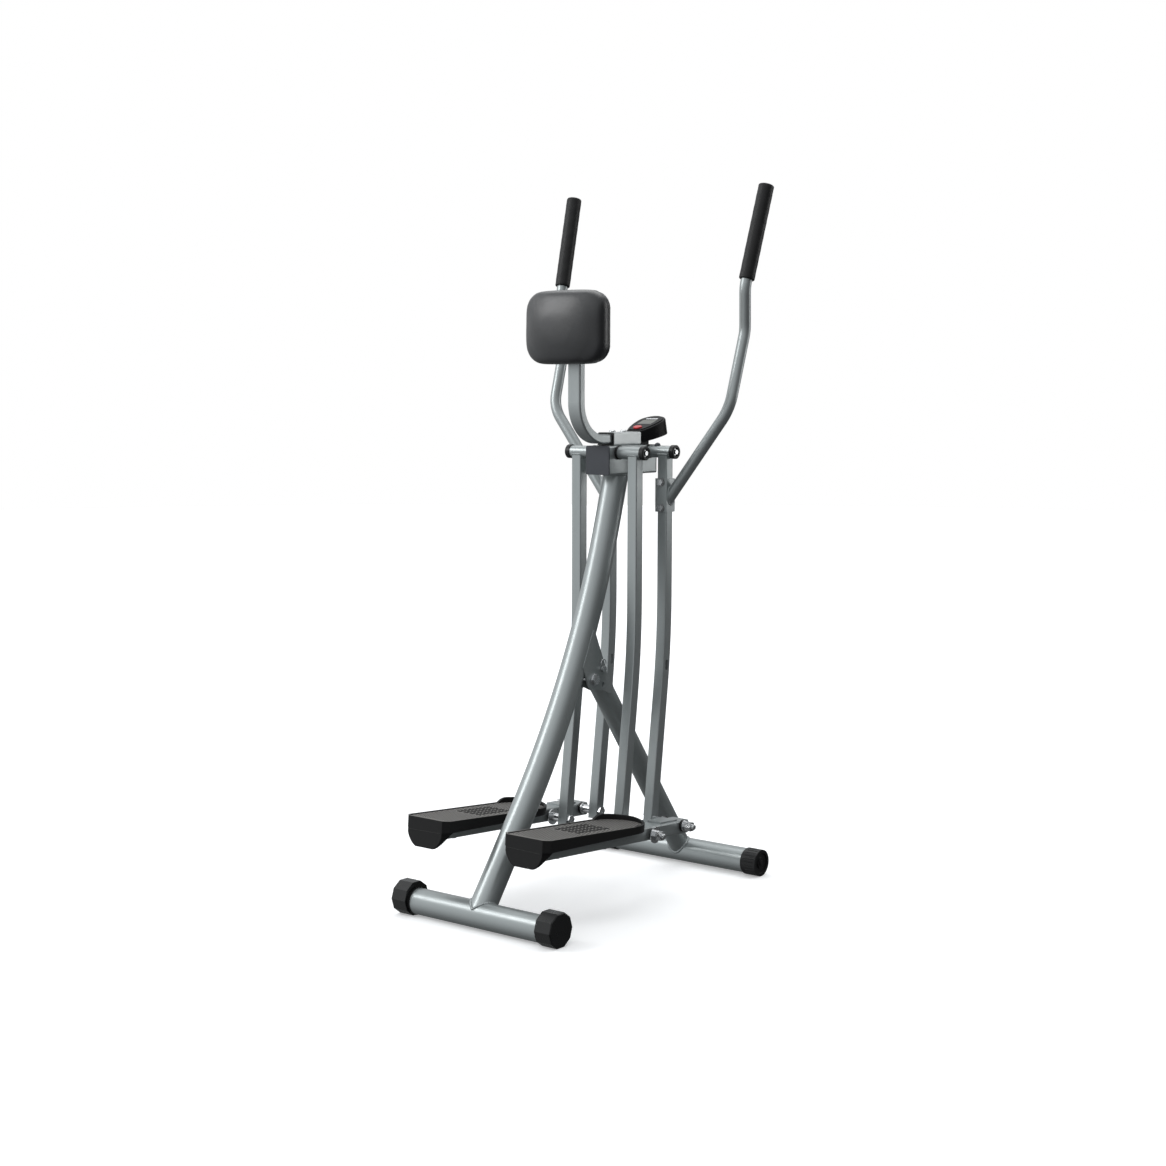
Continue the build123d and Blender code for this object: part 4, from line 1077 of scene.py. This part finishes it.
    def grip_mesh(self) -> bpy.types.Mesh:
        """Foam sleeve with rolled ends, a dished top with a vent hole, and a slightly uneven skin.

        Returns:
            The mesh.
        """
        top = self.from_axle(self.grip_top)
        axis = (top - self.from_axle(self.grip_foot)).normalized()
        first, second = square_to(axis)
        skin = self.grip_radius - 0.001
        rings: list[list[Vector]] = []
        for reach, drop in self.grip_profile():
            ring: list[Vector] = []
            for turn in turns(self.grip_steps):
                wave = sum(depth * math.sin(drop * rate + lobes * turn)
                           for depth, rate, lobes in self.grip_waves)
                around = first * math.cos(turn) + second * math.sin(turn)
                arm = around * (reach + (wave if reach > skin else 0.0))
                ring.append(self.point(*(top + axis * drop + arm)))
            rings.append(ring)
        return make_mesh(f"{self.name}_foam_grip", *ring_strip(rings, start_cap=True), crease=50.0)

    def tread_mesh(self) -> bpy.types.Mesh:
        """Fine tread of this side's footplate."""
        dashes = joined(self.tread.dash(u, v, self.side.sign) for u, v in self.tread.spots())
        return make_mesh(f"{self.name}_fine_tread", *dashes, crease=70.0)

    def mould_line_mesh(self) -> bpy.types.Mesh:
        """Thin parting line across the heel block's rear face.

        Returns:
            The mesh.
        """
        rings: list[list[Vector]] = []
        proud, thick = self.line_size
        for step in range(self.line_steps + 1):
            u = -self.line_half + 2.0 * self.line_half * step / self.line_steps
            drop = -self.line_drop - self.line_wave * math.sin(u * 30.0)
            # Six points over a little more than half a turn, so that the line's edges sink into the face.
            arc = [math.pi * part / 5 - 0.2 + 0.4 * part / 5 for part in range(6)]
            rings.append([
                self.point(*self.plane.point(u, -proud * math.sin(turn), drop + thick * math.cos(turn)))
                for turn in arc
            ])
        line = ring_strip(rings, start_cap=True, end_cap=True)
        return make_mesh(f"{self.name}_mould_line", *line, crease=80.0)

    def sensor_mesh(self) -> bpy.types.Mesh:
        """Low dome of the stride sensor on top of the front arm's sleeve.

        Returns:
            The mesh.
        """
        rings: list[list[Vector]] = []
        foot = self.axle_height + self.sleeve_radius - self.sensor_skirt
        layers, pole = 9, 8.4
        for layer in range(layers):
            # The last ring stops short of the pole, and a flat face closes it.
            turn = math.pi / 2 * layer / pole
            reach = self.sensor_radius * math.cos(turn)
            rise = self.sensor_skirt + self.sensor_rise * math.sin(turn) if layer else 0.0
            rings.append([
                self.point(self.sensor_stand + reach * c, self.front_axle + reach * s, foot + rise)
                for c, s in circle(self.sensor_sides)
            ])
        dome = ring_strip(rings, start_cap=True, end_cap=True)
        return make_mesh(f"{self.name}_stride_sensor", *dome, crease=50.0)

    def build(self) -> None:
        """Builds the grip, the tread, the mould line, the welds and, on the right, the stride sensor."""
        own, add = self.name, self.shelf.add_piece
        grip = add(self.grip_mesh(), f"{own}_front_arm", Slot.GRIP_FOAM)
        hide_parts(f"{own}_grip")
        for mesh in (self.tread_mesh(), self.mould_line_mesh()):
            add(mesh, f"{own}_pedal", Slot.FOOTPLATE_PLASTIC)
        for arm, axle in (("rear_arm", self.rear_axle), ("front_arm", self.front_axle)):
            weld = self.bead.mesh(f"{own}_{arm}_weld", self.sleeve_seam(axle))
            add(weld, f"{own}_{arm}", Slot.FRAME_PAINT)
        if self.side is Side.RIGHT:
            add(self.sensor_mesh(), f"{own}_front_arm", Slot.SLATE_PLASTIC)
        add(self.bead.mesh(f"{own}_clamp_weld", self.clamp_seam()), f"{own}_front_arm", Slot.FRAME_PAINT)


@dataclass
class BellyPad(SubAssembly):
    """Cushion blown up as cloth over its board, with the cover turned in and stapled behind."""

    worn: ClassVar[dict[Slot, str]] = {Slot.PAD_WOOD: "pad_board"}
    shelf: FinishShelf
    voxel: float = 0.005
    board_face: float = -0.062492
    board_back: float = -0.053492
    board_inset: float = 0.009
    centre: float = 1.257525
    width: float = 0.222
    height: float = 0.166
    corner: float = 0.046
    thickness: float = 0.040
    shrink: float = 0.0010
    hold: float = 0.004
    pressure: float = 17.0
    frames: int = 20
    swell: float = 0.0100
    ease_rounds: int = 40
    ease_share: float = 0.6
    settle_rounds: int = 14
    gather_depth: float = 0.0002
    gather_reach: float = 0.020
    cover_points: int = 220
    pleat_depth: float = 0.0006
    ripple_depth: float = 0.00012
    staple_pitch: float = 0.021
    staple_inset: float = 0.0075
    staple_lift: float = 0.0011
    wire: Pair = (0.00045, 0.00030)
    wire_sides: int = 6

    def cushion(self) -> bpy.types.Object:
        """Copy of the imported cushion, a little smaller and remeshed evenly, not yet blown up.

        Returns:
            The object.
        """
        mesh = frame["nodes"]["pad_cushion"].data.copy()
        across = 1.0 - 2.0 * self.shrink / self.width
        upright = 1.0 - 2.0 * self.shrink / self.height
        deep = 1.0 - self.shrink / self.thickness
        for vertex in mesh.vertices:
            x, y, z = vertex.co
            vertex.co = (x * across, self.board_face + (y - self.board_face) * deep,
                         self.centre + (z - self.centre) * upright)
        rough = link_object("cushion_rough", mesh)
        remesh = rough.modifiers.new("even", "REMESH")
        remesh.mode = "VOXEL"
        remesh.voxel_size = self.voxel
        graph = bpy.context.evaluated_depsgraph_get()
        even = bpy.data.meshes.new_from_object(rough.evaluated_get(graph))
        bpy.data.objects.remove(rough)
        even.name = "belly_cushion"
        return link_object("belly_cushion", even)

    def blow_up(self, piece: bpy.types.Object) -> None:
        """Runs the cloth under pressure, keeps each point near its start, and applies the result.

        Args:
            piece: The cushion.
        """
        start = [vertex.co.copy() for vertex in piece.data.vertices]
        held = piece.vertex_groups.new(name="on_board")
        held.add([i for i, co in enumerate(start) if co.y > self.board_face - self.hold], 1.0, "REPLACE")
        cloth = piece.modifiers.new("cover", "CLOTH")
        for key, value in (
                ("quality", 6), ("mass", 0.25), ("tension_stiffness", 18.0), ("compression_stiffness", 18.0),
                ("bending_stiffness", 1.5), ("use_pressure", True), ("uniform_pressure_force", self.pressure),
                ("vertex_group_mass", held.name)):
            setattr(cloth.settings, key, value)
        cloth.settings.effector_weights.gravity = 0.0
        cloth.collision_settings.use_collision = False
        scene = bpy.context.scene
        cloth.point_cache.frame_start = 1
        cloth.point_cache.frame_end = self.frames
        for number in range(1, self.frames + 1):
            scene.frame_set(number)
        graph = bpy.context.evaluated_depsgraph_get()
        blown = piece.evaluated_get(graph).to_mesh()
        moved = [vertex.co.copy() for vertex in blown.vertices]
        piece.evaluated_get(graph).to_mesh_clear()
        piece.modifiers.remove(cloth)
        steps = self.eased(piece.data, [new - old for old, new in zip(start, moved)])
        log.info("cover moves %.1f mm at most", 1000.0 * max(step.length for step in steps))
        for vertex, old, step in zip(piece.data.vertices, start, steps):
            vertex.co = old + step * min(1.0, self.swell / max(step.length, 1e-9))
        scene.frame_set(1)
        self.settle(piece.data)

    def eased(self, mesh: bpy.types.Mesh, steps: list[Vector]) -> list[Vector]:
        """Evens out the cloth's movement between neighbours, as thick foam under the cover does.

        Args:
            mesh: The cushion's mesh.
            steps: Movement of each point.

        Returns:
            The eased movements.
        """
        near: list[list[int]] = [[] for _ in steps]
        for edge in mesh.edges:
            first, second = edge.vertices
            near[first].append(second)
            near[second].append(first)
        own = 1.0 - self.ease_share
        shares = [self.ease_share / max(len(beside), 1) for beside in near]
        for _ in range(self.ease_rounds):
            steps = [
                step * own + sum((steps[other] for other in beside), Vector()) * share
                for step, beside, share in zip(steps, near, shares)
            ]
        return steps

    def settle(self, mesh: bpy.types.Mesh) -> None:
        """Rounds the cover's shoulders, leaving the part that lies on the board.

        Args:
            mesh: The cushion's mesh.
        """
        work = bmesh.new()
        work.from_mesh(mesh)
        free = [vertex for vertex in work.verts if vertex.co.y < self.board_face - self.hold]
        for _ in range(self.settle_rounds):
            bmesh.ops.smooth_vert(
                work, verts=free, factor=0.5, use_axis_x=True, use_axis_y=True, use_axis_z=True)
        work.to_mesh(mesh)
        work.free()

    def gather(self, piece: bpy.types.Object) -> None:
        """Draws shallow gathers into the cover round the back of the four corners.

        Args:
            piece: The cushion.
        """
        across, upright = self.width / 2 - self.corner, self.height / 2 - self.corner
        for vertex in piece.data.vertices:
            co = vertex.co
            away = Vector((abs(co.x) - across, 0.0, abs(co.z - self.centre) - upright))
            if away.x <= 0.0 or away.z <= 0.0 or away.length < self.corner * 0.7:
                continue
            near = max(0.0, 1.0 - (self.board_face - co.y) / self.gather_reach)
            turn = math.atan2(away.z, away.x)
            depth = self.gather_depth * near * math.sin(2.0 * turn) * math.sin(turn * 26.0)
            away.normalize()
            outward = Vector((math.copysign(away.x, co.x), 0.0, math.copysign(away.z, co.z - self.centre)))
            vertex.co = co + outward * depth

    def outline(self, inset: float) -> list[Vector]:
        """Rounded outline of the pad about its centre, drawn in by a distance.

        Args:
            inset: Distance inside the pad's widest outline.

        Returns:
            Points of the closed outline, with no Y.
        """
        corner_steps, spacing = 14, 0.0035
        radius = self.corner - inset
        across, upright = self.width / 2 - self.corner, self.height / 2 - self.corner
        points: list[Vector] = []
        for quarter, (sx, sz) in enumerate(((1, 1), (-1, 1), (-1, -1), (1, -1))):
            for step in range(corner_steps + 1):
                turn = math.pi / 2 * (quarter + step / corner_steps)
                points.append(Vector((
                    sx * across + radius * math.cos(turn), 0.0, sz * upright + radius * math.sin(turn))))
        return along_loop(points, spacing)

    def turned_cover_mesh(self) -> bpy.types.Mesh:
        """Cover wrapped over the board's edge and turned in behind it, gathered at the corners.

        Returns:
            The mesh.
        """
        # Inset from the board's edge, Y from the board's face or back, and depth of the pleats.
        rows = [
            (-0.0004, self.board_face + 0.0002, 0.0), (-0.0010, self.board_face + 0.0025, 0.0),
            (-0.0010, self.board_back - 0.0012, 0.3), (-0.0002, self.board_back + 0.0006, 0.6),
            (0.0030, self.board_back + 0.0010, 1.0), (0.0110, self.board_back + 0.0010, 1.0),
            (0.0150, self.board_back + 0.0009, 0.8), (0.0153, self.board_back + 0.0001, 0.0),
        ]
        across, upright = self.width / 2 - self.corner, self.height / 2 - self.corner
        rings: list[list[Vector]] = []
        for inset, y, pleat in rows:
            line = self.outline(self.board_inset + inset)
            ring: list[Vector] = []
            for index, point in enumerate(along_loop(line, count=self.cover_points)):
                if abs(point.x) > across and abs(point.z) > upright:
                    lift = self.pleat_depth * pleat * (math.sin(index * 1.9) + 0.6)
                else:
                    lift = self.ripple_depth * pleat * math.sin(index * 0.7)
                ring.append(Vector((point.x, y + max(lift, -0.0004), self.centre + point.z)))
            rings.append(ring)
        return make_mesh("turned_cover", *ring_strip(rings), crease=60.0)

    def staple(self, spot: Vector, along: Vector) -> Strip:
        """Points and faces of one wire staple.

        Args:
            spot: Its middle, about the pad's centre.
            along: Direction of its back.

        Returns:
            The points and the faces.
        """
        across = Vector((-along.z, 0.0, along.x))
        wide, deep = self.wire
        bend = [(-0.0046, -0.0010), (-0.0044, 0.0008), (0.0, 0.0010), (0.0044, 0.0008), (0.0046, -0.0010)]
        rings = [
            [Vector((spot.x, self.board_back + self.staple_lift + rise, self.centre + spot.z)) + along * reach
             + across * (wide * c) + Vector((0.0, deep * s, 0.0)) for c, s in circle(self.wire_sides)]
            for reach, rise in bend
        ]
        return ring_strip(rings, start_cap=True, end_cap=True)

    def staples_mesh(self) -> bpy.types.Mesh:
        """Wire staples along the turned-in cover, each a little askew.

        Returns:
            The mesh.
        """
        spots = along_loop(self.outline(self.board_inset + self.staple_inset), self.staple_pitch)
        staples: list[Strip] = []
        for index, spot in enumerate(spots):
            along = (spots[(index + 1) % len(spots)] - spots[index - 1]).normalized()
            askew = Matrix.Rotation(0.25 * math.sin(index * 2.7), 3, "Y")
            staples.append(self.staple(spot, askew @ along))
        return make_mesh("cover_staples", *joined(staples), crease=35.0)

    def build(self) -> None:
        """Blows up the cushion and adds the turned-in cover and its staples."""
        piece = self.cushion()
        self.blow_up(piece)
        self.gather(piece)
        soften(piece.data, crease=80.0)
        smooth = piece.modifiers.new("smooth", "SUBSURF")
        smooth.levels = 1
        smooth.render_levels = 1
        put_on(piece, self.shelf.by_slot[Slot.PAD_COVER])
        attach(piece, "frame")
        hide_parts("pad_cushion")
        log.info("built belly_cushion on frame: %d faces", len(piece.data.polygons))
        self.shelf.add_piece(self.turned_cover_mesh(), "frame", Slot.PAD_COVER)
        self.shelf.add_piece(self.staples_mesh(), "frame", Slot.ZINC_STEEL)


@dataclass
class ConsoleFace(SubAssembly):
    """Console: shell, tray, display, button and the bare bright strip over the display."""

    worn: ClassVar[dict[Slot, str]] = {
        Slot.CONSOLE_PLASTIC: "console_shell console_tray",
        Slot.CONSOLE_GLASS: "console_lens",
        Slot.BUTTON_PLASTIC: "console_button",
        Slot.BOARD_RESIN: "console_board",
        Slot.CELL_CAN: "console_cell",
    }
    shelf: FinishShelf
    tilt: float = 19.0
    near: float = 0.167900
    foot: float = 1.033274
    strip_length: float = 0.033
    strip_width: float = 0.0060
    strip_station: float = 0.0750
    strip_sides: int = 32
    strip_layers: tuple[Pair, ...] = ((-0.0003, 0.0), (0.0005, 0.0), (0.0009, 0.0004), (0.0011, 0.0014))

    def on_face(self, u: float, v: float, w: float) -> Vector:
        """Point over the console's face.

        Args:
            u: Distance to the right of the middle.
            v: Distance forward from the near edge.
            w: Height over the face.

        Returns:
            The point.
        """
        tilt = math.radians(self.tilt)
        return Vector((u, self.near + v * math.cos(tilt) - w * math.sin(tilt),
                       self.foot + v * math.sin(tilt) + w * math.cos(tilt)))

    def build(self) -> None:
        """Builds the bright strip, domed and with round ends."""
        half = (self.strip_length - self.strip_width) / 2
        rings: list[list[Vector]] = []
        for height, inset in self.strip_layers:
            radius = self.strip_width / 2 - inset
            rings.append([
                self.on_face((half if c >= 0.0 else -half) + radius * c,
                             self.strip_station + radius * s, height)
                for c, s in circle(self.strip_sides)
            ])
        dome = ring_strip(rings, start_cap=True, end_cap=True)
        strip = make_mesh("console_strip", *dome, crease=40.0)
        self.shelf.add_piece(strip, "frame", Slot.ZINC_STEEL)


@dataclass(frozen=True)
class SoftBox:
    """Rectangular lamp, placed right, up and toward the camera from its aim, in metres and watts."""

    name: str
    offset: Triple
    size: Pair
    power: float


@dataclass
class Studio:
    """Pale floor, soft light and the camera at the photograph's angle."""

    eye: Vector = Vector((2.5753, -3.2929, 1.1328))
    yaw: float = 38.155
    pitch: float = 5.914
    roll: float = 0.1115
    focal: float = 1904.35
    frame_side: float = 1166.0
    sensor: float = 36.0
    aim: Vector = Vector((0.0, 0.0, 0.85))
    floor_radius: float = 14.0
    floor_drop: float = 0.0004
    floor_glow: Pair = (0.30, 0.62)
    glow_reach: Pair = (0.7, 4.0)
    bright_side: Triple = (-0.62, 0.75, -0.12)
    brightness: Pair = (0.10, 1.10)
    bright_reach: Pair = (-0.55, 1.00)
    boxes: tuple[SoftBox, ...] = (
        SoftBox("key_box", (-2.7, 1.6, 0.4), (1.2, 1.4), 27.0),
        SoftBox("side_box", (2.6, 0.8, -0.7), (0.8, 2.0), 13.0),
        SoftBox("top_box", (0.2, 2.7, -0.9), (2.6, 2.6), 34.0),
    )

    def axes(self) -> tuple[Vector, Vector, Vector]:
        """Right, up and forward of the camera.

        Returns:
            The three directions.
        """
        yaw, pitch, roll = (math.radians(angle) for angle in (self.yaw, self.pitch, self.roll))
        flat = math.cos(pitch)
        forward = Vector((-math.sin(yaw) * flat, math.cos(yaw) * flat, -math.sin(pitch)))
        right = Vector((math.cos(yaw), math.sin(yaw), 0.0))
        up = right.cross(forward)
        level, tilt = math.cos(roll), math.sin(roll)
        return right * level + up * tilt, up * level - right * tilt, forward

    def camera(self) -> None:
        """Makes the camera."""
        data = bpy.data.cameras.new("photo_camera")
        data.sensor_width = self.sensor
        data.lens = self.sensor * self.focal / self.frame_side
        data.clip_start, data.clip_end = 0.05, 100.0
        right, up, forward = self.axes()
        turn = Matrix((right, up, -forward)).transposed().to_4x4()
        camera = link_object("photo_camera", data)
        camera.matrix_world = Matrix.Translation(self.eye) @ turn
        bpy.context.scene.camera = camera

    def floor(self) -> None:
        """Makes the pale floor, which glows a little more with the distance so that no horizon shows."""
        work = bmesh.new()
        bmesh.ops.create_circle(work, cap_ends=True, segments=96, radius=self.floor_radius)
        mesh = bpy.data.meshes.new("studio_floor")
        work.to_mesh(mesh)
        work.free()
        floor = link_object("studio_floor", mesh)
        floor.location.z = -self.floor_drop
        graph = FinishGraph("studio_floor")
        cloud = graph.noise(1.2, 3.0)
        graph.set(base_color=graph.tint(cloud, (0.86, 0.865, 0.875), (0.89, 0.893, 0.90)))
        graph.set(roughness=graph.span(cloud, 0.6, 0.7), specular_ior_level=0.1)
        away = graph.add("VectorMath", "Value", {0: graph.place}, operation="LENGTH")
        glow = graph.span(away, *self.floor_glow, *self.glow_reach)
        graph.set(emission_color=(1.0, 1.0, 1.0), emission_strength=glow)
        floor.visible_diffuse = False
        floor.visible_glossy = False
        put_on(floor, graph.material)

    def world(self) -> None:
        """Makes a studio that is bright left and above, dim right, and plain white behind the object."""
        world = bpy.data.worlds.new("white_studio")
        bpy.context.scene.world = world
        world.use_nodes = True
        world.node_tree.nodes.clear()
        graph = NodeGraph(world.node_tree, "Generated")
        shares = zip(self.axes(), self.bright_side)
        bright = sum((axis * share for axis, share in shares), Vector()).normalized()
        light = graph.span(graph.along(tuple(bright)), *self.brightness, *self.bright_reach, "SMOOTHSTEP")
        studio = graph.add("Background", 0, {"Color": (0.96, 0.985, 1.0), "Strength": light})
        paper = graph.add("Background", 0, {"Color": (1.0, 1.0, 1.0)})
        mix = graph.add("MixShader", 0, {0: graph.add("LightPath", "Is Camera Ray"), 1: studio, 2: paper})
        graph.feed(graph.nodes.new("ShaderNodeOutputWorld").inputs["Surface"], mix)

    def lamp(self, box: SoftBox) -> None:
        """Makes one soft box, aimed at the middle of the object.

        Args:
            box: What to make.
        """
        right, _, forward = self.axes()
        level = Vector((forward.x, forward.y, 0.0)).normalized()
        across, rise, toward = box.offset
        place = self.aim + right * across + Vector((0.0, 0.0, rise)) - level * toward
        data = bpy.data.lights.new(box.name, "AREA")
        data.shape = "RECTANGLE"
        data.size, data.size_y = box.size
        data.energy = box.power
        lamp = link_object(box.name, data)
        lamp.location = place
        lamp.rotation_mode = "QUATERNION"
        lamp.rotation_quaternion = (self.aim - place).to_track_quat("-Z", "Y")

    def build(self) -> None:
        """Sets up the floor, the light and the camera."""
        self.camera()
        self.floor()
        self.world()
        for box in self.boxes:
            self.lamp(box)
        view = bpy.context.scene.view_settings
        view.view_transform = "Standard"
        view.look = "None"
        log.info("built the studio")


def clear_start_up() -> None:
    """Removes whatever the start-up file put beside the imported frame."""
    kept = {*frame["nodes"].values(), *frame["bodies"].values()}
    for thing in list(bpy.data.objects):
        if thing not in kept:
            bpy.data.objects.remove(thing)


def main() -> None:
    """Builds the sub-assemblies in order."""
    logging.basicConfig(level=logging.INFO, format="%(message)s")
    clear_start_up()
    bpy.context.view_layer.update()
    Studio().build()
    shelf = FinishShelf()
    swings = [SwingSide(side, shelf) for side in Side]
    for part in (MainFrame(shelf), *swings, BellyPad(shelf), ConsoleFace(shelf)):
        part.dress()
        part.build()
    bpy.context.view_layer.update()


if __name__ == "__main__":
    main()
